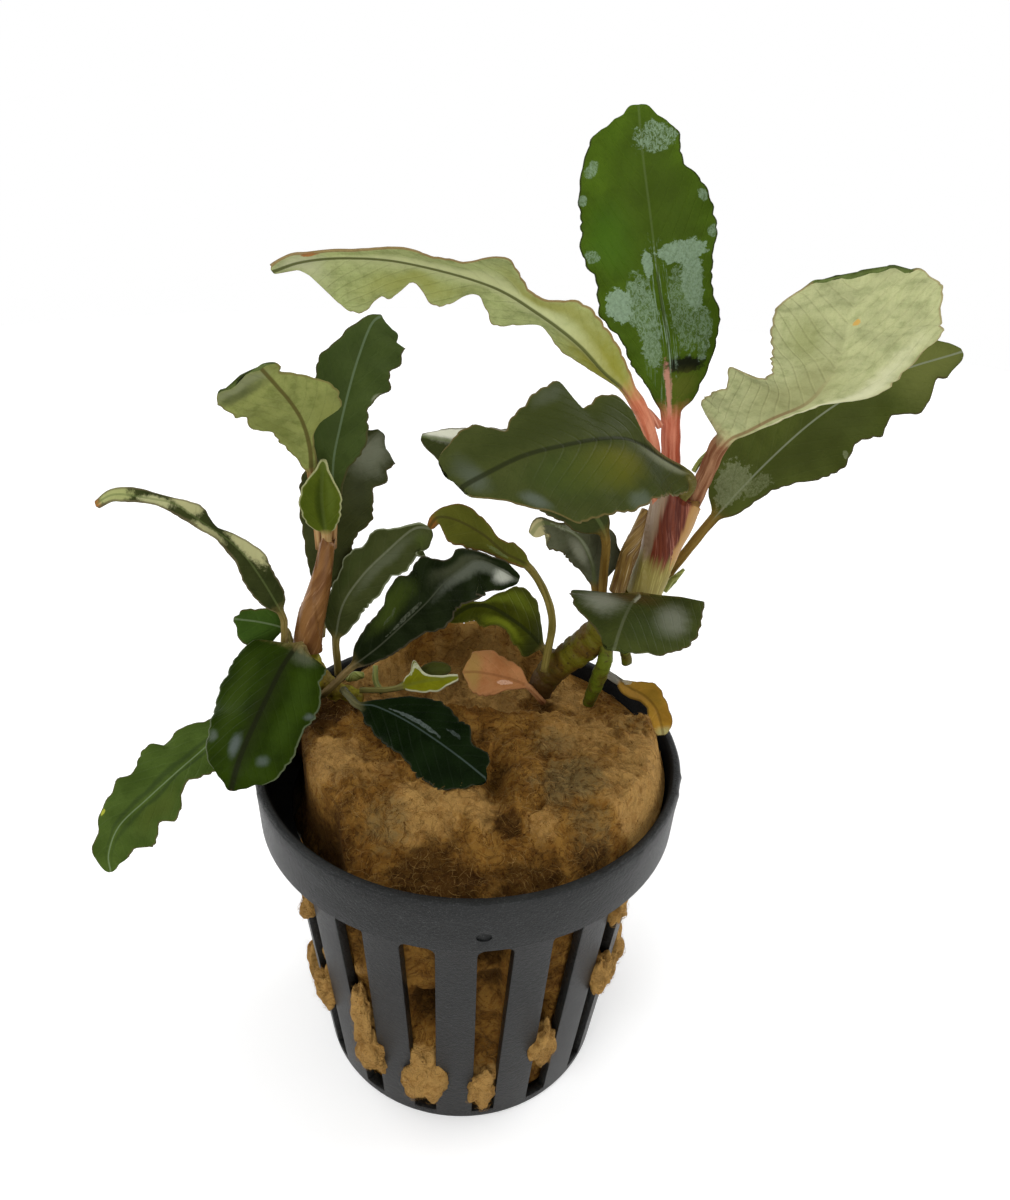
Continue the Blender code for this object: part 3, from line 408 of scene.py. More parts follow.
# Leaf by leaf: stalk points, blade points, left, right, faces, cup, stalk radius
LEAVES = [
    Leaf("leaf_right_upright", [(23.4, 11.4, 79.8), (22.9, 11.7, 84.5)],
         [(22.4, 12.2, 89), (21.4, 13.2, 96.5), (19.5, 14.2, 103.7), (17.8, 15.3, 111), (16.3, 16.5, 117.5),
          (15.5, 17.3, 121.8)],
         ([1, 1.7, 2.4, 3.5, 4.4, 4.8, 5.2, 6.2, 7, 7, 6.8, 7.6, 8, 7.7, 7.5, 7.6, 7.1, 6.5, 5.6, 4.4, 0],
          [0.4, 0.6, 0.75], 0.4),
         ([1.3, 2.4, 3.2, 4.1, 4.8, 5.5, 6, 5.9, 5.6, 5.7, 6, 6.7, 7, 6.8, 6.4, 5.6, 4.2, 4, 4, 3, 0],
          [0.3, 0.6, 0.9], -0.4),
         [(-92, 10), (-90, 15), (-90, 18)], [4], 1.15),
    Leaf("leaf_right_arching", [(21.6, 9.1, 80.3), (19.8, 8.1, 87.5)],
         [(17.2, 7, 92.7), (13.5, 6.5, 95.9), (10.4, 6, 99), (6, 5, 102.3), (0.5, 4, 105.4),
          (-8, 2.5, 107.6), (-14, 2, 107.9), (-18.5, 2, 107.3), (-21.6, 2, 106.2)],
         ([0.8, 1.4, 2.3, 2.8, 3.1, 3.4, 3, 1.8, 1.8, 3.8, 5.8, 3.4, 3.2, 2.9, 2.6, 1.9, 1.2, 1.2, 1, 1.4,
           0.3], [0.25, 0.5, 0.7], 0.2),
         ([0.5, 0.8, 1.1, 1.9, 2.6, 2.4, 2, 3.2, 4.7, 3.6, 2.5, 4.3, 4.4, 2.7, 5.6, 5.6, 7.4, 7.1, 4.4, 1.1,
           0.3], [0.2, 0.4, 0.58, 0.8], -0.5),
         [(80, 30), (88, 32), (90, 45), (92, 48), (90, 48)], [30, 15, -12, -18, -15], 0.85),
    Leaf("leaf_right_front", [(24.2, 7.9, 80.2), (24.9, 6.4, 82.6)],
         [(23.8, 4, 85), (20.5, 1, 87.8), (16.2, -4, 91.7), (12.8, -8, 93.3), (8.6, -12, 93.9),
          (4.7, -15.5, 94), (0.8, -19, 93.1), (-0.8, -20.5, 92.6)],
         ([1.5, 2.8, 3.8, 4.6, 5.2, 5.9, 6.5, 7, 7.5, 7.9, 8.2, 8.6, 8.8, 8.7, 8.5, 8.4, 8.1, 6, 4.2, 2.4,
           0.4], [0.2, 0.42, 0.6, 0.8], -0.3),
         ([0.5, 0.4, 0.3, 0.3, 0.3, 0.5, 0.9, 3.2, 4.5, 4.4, 3.9, 6.7, 6.4, 6, 5, 4.1, 2.9, 4.4, 4.6, 4.2,
           3.2], [0.42, 0.58, 0.88], 0.5),
         [(-60, 45), (-90, 50), (-95, 45)], [20, 6, 4], 0.55),
    Leaf("leaf_right_pale", [(26.3, 10.2, 79.6), (26.9, 7.4, 85)],
         [(27.4, 5, 88.9), (29.5, 3, 91.2), (31.4, 0.5, 93.7), (33.4, -3, 96.5), (34.1, -5.5, 99.3),
          (34.3, -8, 102.5), (33.5, -11, 106), (33, -13, 108.7), (32.2, -15.8, 111.9)],
         ([0.5, 0.5, 0.6, 0.8, 1.1, 1.1, 1.2, 1.6, 2.1, 4.5, 6.1, 6.2, 6.4, 7.4, 8.5, 8, 7.7, 7.4, 7, 5.8,
           4], [0.5, 0.7, 0.9], 0.4),
         ([0.5, 5.5, 6.4, 6.6, 7, 6.6, 8, 8.2, 6.8, 5.4, 5.3, 5.6, 6, 6.1, 6.25, 6.4, 6.5, 6.5, 6.35, 5.6,
           3.5], [0.1, 0.35, 0.75], 0.4),
         [(80, 30), (85, 30), (95, 30)], [0], 1),
    Leaf("leaf_right_side", [(24, 11.4, 67.4), (26.8, 11.8, 72)],
         [(29.2, 12, 75.9), (35.2, 13, 83.8), (40.8, 13, 90.2), (47.2, 12.5, 95.1), (54.6, 12, 98.3)],
         ([0.8, 3.6, 5.2, 6, 6.2, 6, 5.8, 5.3, 4.5, 3, 0], [0.2, 0.45, 0.7, 0.9], 0.3),
         ([0.6, 1.3, 1.9, 2.2, 2.6, 3.2, 4.2, 5.4, 6.1, 6.4, 6.2, 5.2, 5.3, 6, 4.7, 4.8, 5.4, 4.6, 2.2, 2.3,
           0], [0.42, 0.65, 0.8], -0.4),
         [(-85, 40), (-85, 45), (-85, 45)], [4], 0.6),
    Leaf("leaf_right_behind", [(15.8, 6.2, 66), (15.7, 6.4, 70.5)],
         [(15.4, 6, 75.7), (13.3, 6.4, 79), (9.6, 6.5, 82), (2.4, 6, 86), (-6.7, 5, 87.8)],
         ([0.5, 2.6, 3.2, 3.6, 3.8, 3.8, 3.8, 3.6, 3.2, 2.8, 0], [0.3, 0.6], -0.2),
         ([0.5, 1.4, 2, 2.4, 2.6, 2.8, 2.8, 2.3, 1.7, 1.2, 0], [0.3, 0.6], 0.2),
         [(-95, 40), (-90, 45)], [0], 0.55),
    Leaf("leaf_right_curled", [(15.4, 8.9, 64.8)],
         [(15, 8.9, 67.4), (14.3, 8.9, 70.8), (12.5, 8.2, 74.3), (9.9, 7.2, 76.2), (7.6, 6.4, 76.9),
          (6.5, 6, 75.6)],
         ([0.5, 1, 1.7, 2.3, 2.45, 2.6, 2.6, 2.7, 2.8, 2, 0.3], [0.5], 0),
         ([0.5, 2, 3.4, 3.6, 3.5, 2.2, 1.3, 0.4, 0.3, 0.7, 0.3], [0.5], 0),
         [(-95, 30), (-90, 40)], [0], 0.5),
    Leaf("leaf_right_crown", [(19.3, 5, 66), (19.8, 4.6, 67.6)],
         [(19.8, 3.4, 69.2), (18.7, 0, 70.3), (17.5, -4, 70.8), (16.6, -7, 70.4), (16, -9, 69.5)],
         ([7.6, 7.8, 8, 8.1, 8.2, 8, 7.7, 6.9, 5.9, 4.8, 1.8], [0.3, 0.6], 0.2),
         ([4.5, 7.2, 7.5, 7.4, 7, 6.4, 5.8, 4.7, 3.2, 2, 1.5], [0.3, 0.6], -0.2),
         [(-150, 79), (-88, 62), (-82, 56)], [2, -8, -12], 0.6),
    Leaf("leaf_right_yellowed", [(18.9, 13.6, 50.6)],
         [(20, 11.8, 50.9), (21.2, 10, 51.2), (23, 8, 51.4), (24.2, 6, 51), (24.7, 4, 50.3),
          (25, 2.4, 49.2)],
         ([0.5, 0.8, 1.1, 1.5, 2, 1.9, 1.6, 1.5, 1.5, 1.2, 0.4], [0.5], 0),
         ([0.5, 1, 1.3, 1.3, 1.1, 1, 1, 1.3, 1.6, 1.4, 0.8], [0.5], 0),
         [(-70, 50), (-75, 35)], [14, 10], 0.55),
    Leaf("leaf_right_olive", [(9.5, 7.6, 57.6), (9.9, 8.2, 62), (8.8, 8.6, 66)],
         [(6.4, 8.5, 69.9), (3.4, 8, 71.9), (0.6, 8.6, 74), (-2.6, 8.9, 75.6), (-4.9, 8.9, 75.9),
          (-6, 8.9, 74.5)],
         ([0.4, 0.6, 0.7, 0.9, 1.6, 2.2, 2.4, 2.8, 2.2, 0.6, 0.2], [0.3, 0.6], -0.2),
         ([0.3, 1.3, 1.6, 1, 0.9, 1.5, 1.7, 2, 1.5, 0.6, 0.2], [0.3, 0.6], 0.2),
         [(-95, 50), (-95, 45)], [0], 0.5),
    Leaf("leaf_right_low", [(9.6, 13.8, 53.9)],
         [(9, 12.9, 55.4), (7, 11.5, 58.5), (4.5, 10.7, 61), (1.8, 10.1, 62.9), (-0.8, 9.6, 63.1),
          (-3.6, 9, 61.3)],
         ([1.6, 2.7, 2.3, 2.25, 1.6, 1.5, 2.35, 2.5, 1.7, 1.4, 0.2], [0.3, 0.6], -0.2),
         ([0.4, 1.4, 2.7, 4, 4.3, 4.1, 2.2, 0.4, 0.5, 0.5, 0.2], [0.5], 0.2),
         [(-90, 45), (-90, 40)], [-8], 0.5),
    Leaf("leaf_right_pink", [(8, 8, 51.4)],
         [(7.2, 8, 52.2), (5.1, 8.2, 53), (3, 8.4, 53.4), (0.6, 8.5, 53.7), (-1.2, 8.5, 53.6)],
         ([0.3, 1.1, 2, 2.8, 2.8, 1.9], [0.5], 0),
         ([0.3, 1.8, 2.3, 3, 2.95, 1.5], [0.5], 0),
         [(-90, 50)], [0], 0.4),
    Leaf("leaf_left_upright", [(-18.5, 11.3, 72.3)],
         [(-18.3, 11.5, 76), (-18, 11.7, 81.4), (-17.2, 12.2, 85.4), (-15.9, 13, 90.5), (-14.8, 14, 94.1),
          (-13.4, 15, 97.5), (-11.9, 15.5, 98.7)],
         ([1, 1.1, 1.2, 1.3, 1.5, 2.6, 3.4, 3.5, 3.6, 3.7, 3.8, 3.9, 4.1, 4.3, 4.2, 3.4, 2.7, 2.2, 1.4, 0.8,
           0], [0.35, 0.62, 0.85], -0.3),
         ([0.9, 1, 1.1, 1.4, 1.8, 2.4, 3.1, 3.4, 3.4, 3.2, 3, 2.9, 3.3, 4.6, 4.4, 4.1, 5, 4.6, 4.8, 4.4, 3],
          [0.4, 0.65, 0.8, 0.92], -0.4),
         [(-95, 10), (-95, 20)], [8], 0.6),
    Leaf("leaf_left_pale", [(-20.2, 10.7, 72.3), (-20.3, 10.4, 76.8)],
         [(-20.5, 10.1, 80.5), (-20.3, 9, 84.3), (-20.4, 6.6, 88.4), (-21.1, 4.2, 91.6), (-22, 2.2, 94),
          (-23.1, 0.3, 96.5)],
         ([0.6, 0.6, 0.6, 0.5, 0.4, 0.5, 0.6, 1.2, 2.4, 4.6, 4.7, 4.8, 4.9, 4.8, 4, 3.2, 2.4, 1.6, 1, 1.5,
           1.4], [0.45, 0.8], 0.4),
         ([0.6, 0.9, 1.2, 1.7, 2.2, 2.5, 2.9, 3.1, 3.3, 3.7, 4.5, 5.2, 5.4, 5.2, 5.2, 5.7, 5.8, 6, 6.2, 6.2,
           5.5], [0.5, 0.78], -0.4),
         [(108, 16)], [0], 0.5),
    Leaf("leaf_left_rear", [(-20.6, 12, 58.6)],
         [(-20.1, 12.6, 62.9), (-20, 13.6, 68.3), (-19.1, 15.2, 73.4), (-17.1, 16.7, 78.4),
          (-14.4, 18.2, 82), (-13.2, 18.8, 83.1)],
         ([1.2, 1.8, 2.3, 2.8, 3.8, 4.5, 4.9, 4.5, 3.8, 2, 0], [0.3, 0.7], 0.2),
         ([1.2, 1.8, 2.3, 2.8, 3.2, 3.3, 3.3, 3.6, 4.1, 4.7, 5.1, 4.9, 4.6, 4.2, 3.9, 4.4, 4.8, 3.9, 4.1,
           3.9, 0], [0.25, 0.5, 0.8], -0.4),
         [(-95, 15), (-95, 20)], [0], 0.6),
    Leaf("leaf_left_young", [(-18.9, 9.5, 71.9)],
         [(-18.9, 9.3, 73), (-19, 8.4, 78), (-18.4, 7.4, 83.3)],
         ([0.6, 1.5, 2.1, 2.4, 2.55, 2.5, 2.3, 1.9, 1.2, 0.6, 0.1], [0.5], 0),
         ([0.6, 1.3, 1.8, 2.2, 2.4, 2.5, 2.4, 2, 1.3, 0.6, 0.1], [0.5], 0),
         [(-90, 5)], [20], 0.6),
    Leaf("leaf_left_inner", [(-18.6, 10.9, 53)],
         [(-18.6, 10.8, 56.5), (-17.4, 10.4, 62), (-14.9, 10.8, 66.1), (-11.7, 11.3, 69.6),
          (-8.2, 11.5, 72.9), (-5.7, 11.5, 73)],
         ([1, 1.8, 2, 2.2, 2.4, 3.1, 2.5, 3, 1.35, 0.5, 0.2], [0.5, 0.7], 0.3),
         ([0.7, 1.6, 2.35, 2.6, 2.95, 3, 2.6, 3.4, 2.9, 3.6, 2.2], [0.5, 0.85], -0.3),
         [(-100, 20), (-95, 35)], [0], 0.5),
    Leaf("leaf_left_glossy", [(-19.6, 4.9, 51.4), (-18, 5.5, 52.9)],
         [(-15.9, 6.3, 55), (-12.4, 6.5, 58.2), (-9.2, 6.3, 61.8), (-6.2, 5.8, 65.4), (-4, 5.5, 68.5),
          (-1.7, 5, 70.9), (0.7, 5, 72.2), (5.3, 5, 69.8)],
         ([0.4, 1.4, 2.2, 2.7, 3.05, 3.1, 3.3, 4.4, 5, 4.9, 4.4, 4.3, 4.45, 2.7, 1.8, 2.5, 1.2, 0.8, 1.1, 1,
           0.4], [0.4, 0.6], 0.3),
         ([0.4, 1.15, 1.8, 2.25, 2.6, 3.8, 3.6, 4, 4.3, 3.1, 0.5], [0.5, 0.8], -0.4),
         [(-100, 25), (-95, 50), (-90, 50)], [0], 0.5),
    Leaf("leaf_left_twisted", [(-24.4, 6, 58), (-24.3, 6.3, 60.5)],
         [(-24.5, 6.3, 62.7), (-26.8, 5, 69.4), (-28.9, 4, 73.2), (-32.2, 3, 76.6), (-34.6, 2, 79.2),
          (-37.3, 1, 80.3), (-40.6, 0, 81), (-42.7, -0.5, 79.9)],
         ([0.5, 1.5, 1.8, 1.5, 1, 1.3, 0.7, 1, 0.6, 0.8, 0.3], [0.25, 0.5, 0.75], 0.5),
         ([0.5, 1.4, 1.6, 1.8, 1, 0.9, 1.2, 0.6, 0.8, 0.6, 0.3], [0.38, 0.62, 0.88], 0.5),
         [(-70, 30), (-105, 45), (-80, 70), (-100, 45), (-90, 60)], [10], 0.45),
    Leaf("leaf_left_small", [(-24.4, 9.1, 57.2)],
         [(-25, 9, 58.8), (-27.7, 7.9, 60.3), (-30.9, 6.8, 61.3)],
         ([0.4, 2.5, 3.2, 3.3, 2.6, 0.1], [0.5], 0),
         ([0.4, 1.4, 1.7, 1.4, 1.2, 0.1], [0.5], 0),
         [(-90, 36)], [0], 0.4),
    Leaf("leaf_left_drooping", [(-21.8, 5.4, 57.6)],
         [(-22.2, 4.5, 59.1), (-23.5, 1.4, 58.2), (-24.7, -3, 56.3), (-25.4, -7, 55.2), (-26.2, -10, 53.5),
          (-26.7, -12, 51.8), (-27.1, -13, 50)],
         ([4.5, 4.95, 4.95, 6, 6.2, 6.2, 5.6, 5.7, 5.2, 4.15, 0.2], [0.4, 0.7], -0.3),
         ([5.5, 6.1, 6.5, 6.4, 6.5, 6.05, 5.5, 5.2, 4.6, 3, 0.2], [0.35, 0.6, 0.85], 0.3),
         [(-100, 60), (-100, 50), (-100, 40)], [-8], 0.6),
    Leaf("leaf_left_low", [(-24, 7.4, 51.2), (-26.2, 6, 50.9)],
         [(-29, 4.2, 49.8), (-34.2, 0, 45.8), (-36.9, -3, 44.3), (-40.3, -6, 41.9), (-43, -9, 40),
          (-44, -11, 37.3), (-43.7, -12, 35.1)],
         ([0.5, 1.2, 2.2, 3, 3.5, 3.6, 3.7, 3.4, 2.9, 2.1, 2.75, 4.3, 4.6, 3.6, 4.6, 5, 4.6, 3.2, 2.5, 2.4,
           0], [0.3, 0.6, 0.76], -0.3),
         ([0.5, 1, 1.6, 2.1, 2.6, 3.6, 4.25, 4.4, 4.6, 5.5, 5.5, 5, 4, 4.7, 3.8, 3.6, 3.05, 1.95, 2.1, 1.5,
           0], [0.3, 0.47, 0.66, 0.9], 0.4),
         [(-110, 60), (-110, 50), (-100, 40)], [0], 0.6),
    Leaf("leaf_left_on_wool", [(-15.4, 2.2, 53)],
         [(-14.2, 0.6, 53.1), (-12, -0.1, 53.6), (-8, -3, 53.9), (-4, -6.8, 54.1), (-0.4, -10.1, 53.8),
          (2.4, -12.7, 53.3)],
         ([0.4, 0.9, 2.5, 3.65, 4.3, 4.35, 3.8, 3.7, 2.1, 2.4, 0.6], [0.4, 0.75], 0.2),
         ([0.8, 2.4, 3, 3.65, 4.05, 4.2, 4.3, 4.9, 4.7, 4, 1], [0.3, 0.7], -0.2),
         [(-100, 75), (-100, 70)], [0], 0.5),
    Leaf("leaf_left_curled", [(-12.6, 6.6, 51.4), (-11.2, 6.5, 51.6)],
         [(-9.3, 6.6, 52.1), (-6.7, 7.3, 52.6), (-4.2, 7.7, 52.9), (-2, 8, 53.1)],
         ([0.4, 1, 1.5, 2.9, 1.2, 0.6, 0.4, 0.3, 0.3, 0.3, 0.2], [0.5], 0),
         ([0.3, 0.7, 1.1, 1.4, 1.6, 1.65, 1.6, 1.3, 0.9, 0.6, 0.2], [0.5], 0),
         [(-90, 55)], [10], 0.4),
    Leaf("leaf_left_oval", [(-8.8, 10.6, 50.6)],
         [(-7.5, 10.8, 51.6), (-5.2, 11, 52.2), (-3.2, 11.1, 52.2)],
         ([0.2, 0.7, 0.9, 0.9, 0.7, 0.1], [0.5], 0),
         ([0.2, 0.7, 0.9, 0.9, 0.7, 0.1], [0.5], 0),
         [(-90, 45)], [0], 0.35),
]


def leaf_lengths(leaf):
    """Lengths along the leaf at which its section is drawn."""
    blade = leaf.path.total - leaf.foot
    stalk_rows = max(int(leaf.foot / STALK_STEP), FEWEST_STALK_ROWS)
    blade_rows = int(min(max(blade / BLADE_STEP, FEWEST_BLADE_ROWS), MOST_BLADE_ROWS))
    stalk = [-STALK_SINK, -STALK_SINK / 2] + [leaf.foot * k / stalk_rows for k in range(stalk_rows)]
    rows = [0.012 + 0.976 * k / blade_rows for k in range(blade_rows + 1)] + [0.9925, 0.996, 0.9985]
    return np.array(stalk + [leaf.foot + blade * row for row in rows])


def margin_detail(length, side_sign, seed):
    """Small scallops (in the blade's plane) and ripples (out of it) along a margin, in millimetres."""
    at = (length * 0.9, side_sign * 5.0, seed)
    scallop = abs(math.sin(math.pi * (length / 1.7 + 0.9 * rough(at, 0.3, 5.0)))) - 0.6
    notch = 0.16 * rough(at, 0.75, 3.0) + 0.09 * rough(at, 2.1, 7.0) + 0.26 * scallop
    return notch, 0.34 * rough(at, 0.42, 11.0) + 0.12 * rough(at, 1.1, 17.0)


def leaf_points(leaf, seed):
    """Rings of points round the leaf with what the materials need to know about each one."""
    lengths = leaf_lengths(leaf)
    shares = (lengths - leaf.foot) / (leaf.path.total - leaf.foot)
    along = leaf.path.direction(np.maximum(lengths, 0.0))
    centres = leaf.path.point(np.maximum(lengths, 0.0)) + np.minimum(lengths, 0.0)[:, None] * along
    faces = shared_out(leaf.faces, shares)
    normals = faces - along * np.einsum("ij,ij->i", faces, along)[:, None]
    normals /= np.linalg.norm(normals, axis=1, keepdims=True)
    leftwards = np.cross(normals, along)
    folds = np.radians(shared_out(leaf.cup, shares))[:, 0]

    top_columns = [-across for across in reversed(COLUMNS[1:])] + list(COLUMNS)
    across = np.array(top_columns[::-1] + top_columns[1:-1])
    reach = np.abs(across)
    out = np.where(across >= 0, 1.0, -1.0)
    on_top = np.arange(LEAF_SIDES) < len(top_columns)
    turns = 2 * np.pi * np.arange(LEAF_SIDES) / LEAF_SIDES
    blade = max(min(max(leaf.left[0] + leaf.right[0]) / 5.0, 1.0), 0.25)
    thick = LEAF_THICKNESS * np.sqrt(np.clip(1 - reach**10, 0, 1)) * 0.5
    points, flats, places = [], [], []
    for row, (length, share) in enumerate(zip(lengths, shares)):
        flat = smoothstep(share / FLAT_FROM)
        fade = math.sin(math.pi * min(max(share, 0.0), 1.0)) ** 0.5
        sides = []
        for (widths, crests, ruffle), sign in ((leaf.left, 1), (leaf.right, -1)):
            width = margin_width(widths, share)
            notch, ripple = margin_detail(length, sign, seed)
            small = min(width / 3.0, 1.0) * fade
            wave = ruffle * margin_wave(share, crests) * fade
            sides.append((max(width + notch * small, 0.0), wave, ripple * small))
        width, ruffle, ripple = np.where(across > 0, *np.array(sides)[:, :, None])
        distance = reach * width
        sideways = out * distance * math.cos(folds[row]) + across * 0.2
        rise = distance * math.sin(folds[row]) + ruffle * reach**2 + ripple * reach**3
        rib = np.exp(-((distance / (0.42 * blade + 0.12)) ** 2))
        groove = 0.16 * blade * rib * fade
        ridge = (MIDRIB_THICKNESS - LEAF_THICKNESS) * rib * (0.4 + 0.6 * blade)
        lift = rise + np.where(on_top, thick - groove, -thick - ridge)
        end = smoothstep((share - 0.88) / 0.12) * min(width.max() / 2.0, 1.0)
        uneven = np.array([rough((value, seed, 0.0), 0.7, 2.0) for value in out * distance])
        stretch = end * (0.9 * uneven - 0.9 * reach**4)
        radius = leaf.stalk_radius * (1 + 0.05 * np.cos(5 * turns + seed) + 0.03 * math.sin(length * 2.1))
        offsets = np.stack([
            radius * np.cos(turns) * (1 - flat) + sideways * flat,
            radius * np.sin(turns) * (1 - flat) + lift * flat,
            stretch * flat], -1)
        points.append(centres[row] + offsets @ np.array([leftwards[row], normals[row], along[row]]))
        flat_across = leaf.stalk_radius * np.cos(turns) * 1.3 * (1 - flat) + out * distance * flat
        to_margin = (1 - reach) * width if share > 0.02 else np.full(LEAF_SIDES, FAR_FROM_MARGIN)
        flats.append(np.stack([flat_across, np.full(LEAF_SIDES, length - leaf.foot), to_margin], -1))
        places.append(np.stack([np.full(LEAF_SIDES, share), across, np.full(LEAF_SIDES, flat)], -1))
    return np.concatenate(points), np.concatenate(flats), np.concatenate(places)


# Leaf finishes

@dataclass
class Look:
    """Colours and marks of one leaf.

    stalk: the stalk's darker and paler colour.
    painted_sheens: painted sheen, pale patches that stand for light reflected off the blade, as (share,
    across, share radius, across radius, strength, grain).
    streaks: painted sheen as patches of fine pale lines along the midrib, without the grain.
    tints: patches of another colour, some of them painted sheen and painted glow of light through the blade,
    as (share, across, share radius, across radius, strength, colour), which fade out softly unless a seventh
    value says how wide the fading edge is.
    under_rib_fade: share of the blade at which the rib on the under side has faded away.
    """

    slot: str
    dark: tuple
    light: tuple
    under: tuple
    stalk: tuple
    rib: tuple = (0.10, 0.13, 0.04)
    rib_strength: float = 0.5
    rib_width: float = 0.2
    under_rib: tuple = (0.10, 0.055, 0.02)
    under_rib_fade: float = 1.6
    edge: tuple = (0.07, 0.055, 0.022)
    edge_strength: float = 0.7
    painted_sheens: tuple = ()
    streaks: tuple = ()
    tints: tuple = ()
    under_tints: tuple = ()
    under_streaks: float = 0.2
    # Colour of the painted sheen
    painted_sheen: tuple = (0.14, 0.185, 0.085)
    roughness: float = 0.38


def scaled(colour, factor, lift=0.0):
    return tuple(min(factor * part + lift, 1.0) for part in colour)


def patch(place, wander, where, soft):
    """1 inside a blotch of the blade and 0 outside it, with a ragged edge."""
    share, across, share_radius, across_radius = where
    scale = (1 / share_radius, 1 / across_radius, 0.0)
    shift = (-share / share_radius, -across / across_radius, 0.0)
    away = place.math("MULTIPLY_ADD", scale, shift).math("LENGTH")
    return (away + wander).rise(1.0 + soft / 2, 1.0 - soft / 2)


def side_veins(across, along):
    """Soft lines that leave the midrib towards the tip."""
    bent = abs(across).math("MAXIMUM", 0.001).math("POWER", 1.25) * 1.15
    phase = (along - bent).math("DIVIDE", VEIN_SPACING)
    return abs(phase.math("FRACT") - 0.5).rise(VEIN_WIDTH / VEIN_SPACING, 0.02)


def leaf_surface(name, look, seed, is_under):
    surface = Surface(name, look.roughness, LEAF_SPECULAR)
    flat, place = surface.field("flat"), surface.field("place")
    across, along, margin = surface.parts(flat)
    share = surface.parts(place)[0]
    spot = (flat + (seed * 13.7, seed * 7.9, 0.0)) * (1.0, 1.0, 0.0)
    cloud = surface.noise(spot, 0.35, 4.0, 0.6)
    fine = surface.noise(spot, 3.2, 3.0, 0.65)
    streak = surface.noise(spot * (2.6, 0.30, 0.0), 1.0, 3.0, 0.6)
    wander = (surface.noise(spot, 1.5, 5.0, 0.72) - 0.5) * 1.7
    calm = wander * 0.45
    veins = side_veins(across, along)

    if is_under:
        surface.base(cloud.rise(0.3, 0.7), look.under, scaled(look.under, 0.78))
        surface.tone(streak.rise(0.4, 0.75, look.under_streaks), (0.66, 0.72, 0.55))
        vein_colour, vein_strength, marks = look.under_rib, 0.07, look.under_tints
        rib_colour, rib_strength, rib_width = look.under_rib, 0.9, 0.2
    else:
        surface.base(cloud.rise(0.32, 0.68), look.dark, look.light)
        surface.tone(streak.rise(0.5, 0.8, 0.25), (0.75, 0.8, 0.75))
        vein_colour, vein_strength, marks = scaled(look.light, 1.25, 0.006), 0.10, look.tints
        rib_colour, rib_strength, rib_width = look.rib, look.rib_strength, look.rib_width
    surface.tone(fine.rise(0.5, 0.75, 0.35), (0.66, 0.70, 0.62))
    surface.tone(surface.noise(spot, 0.7, 3.0, 0.6).rise(0.48, 0.66, 0.4), (0.62, 0.68, 0.55))
    surface.tone(surface.noise(spot, 8.0, 2.0, 0.6).rise(0.52, 0.68, 0.3), (0.6, 0.66, 0.6))
    surface.cover(veins * vein_strength, vein_colour)
    for mark in marks:
        soft = mark[6] if len(mark) > 6 else MARK_EDGE
        mask = patch(place, calm if soft > 1 else wander, mark[:4], soft)
        surface.cover(mask * mark[4], mark[5])
    rib = abs(across).rise(rib_width * 1.5, rib_width * 0.6)
    if is_under:
        rib = rib * share.rise(look.under_rib_fade, look.under_rib_fade - 0.4)
    surface.cover(rib * rib_strength, rib_colour)

    dryness = (fine - 0.5) * 0.35 + (look.roughness + (0.2 if is_under else 0.0))
    # Painted sheen on the upper side: pale patches and streaks that stand for reflected light, broken up by
    # blotches and fine lines; the blade is a little smoother under it.
    painted_sheens = []
    if not is_under:
        blotches = surface.noise(spot * (1.0, 0.6, 0.0), 3.4, 4.0, 0.7, 1.2).rise(0.47, 0.56)
        lines = surface.noise(spot * (5.0, 0.12, 0.0), 1.0, 3.0, 0.6, 0.3).rise(0.53, 0.60)
        for *where, strength, grain in look.painted_sheens:
            painted_sheens.append(patch(place, wander, where, PAINTED_SHEEN_EDGE) * (blotches * -grain + 1.0) * strength)
        for *where, strength in look.streaks:
            painted_sheens.append(patch(place, wander, where, SHEEN_STREAK_EDGE) * lines * strength)
    if painted_sheens:
        sheen = painted_sheens[0]
        for painted_sheen in painted_sheens[1:]:
            sheen = sheen.math("MAXIMUM", painted_sheen)
        pale = scaled(look.painted_sheen, 1.35, 0.01)
        surface.cover(sheen, surface.mixed(fine.rise(0.35, 0.7), pale, look.painted_sheen))
        dryness = dryness - sheen * 0.10

    surface.cover(margin.rise(0.26, 0.10) * look.edge_strength, look.edge)
    stripes = surface.noise(spot * (1.7, 0.12, 0.0), 1.0, 3.0, 0.55)
    stalk = surface.mixed(stripes.rise(0.36, 0.66), *look.stalk)
    stalk = surface.mixed(fine.rise(0.55, 0.75, 0.4), stalk, (0.6, 0.5, 0.45), "MULTIPLY")
    surface.cover((wander * 0.04 + share).rise(0.07, -0.02), stalk)
    return surface.finish(dryness, fine * 0.05 + (veins + streak) * (0.04 if is_under else -0.04))


PINK = ((0.34, 0.075, 0.038), (0.54, 0.20, 0.12))
OLIVE_STALK = ((0.11, 0.06, 0.010), (0.19, 0.12, 0.028))
SCAR = (0.24, 0.26, 0.17)
RUST = (0.36, 0.13, 0.03)

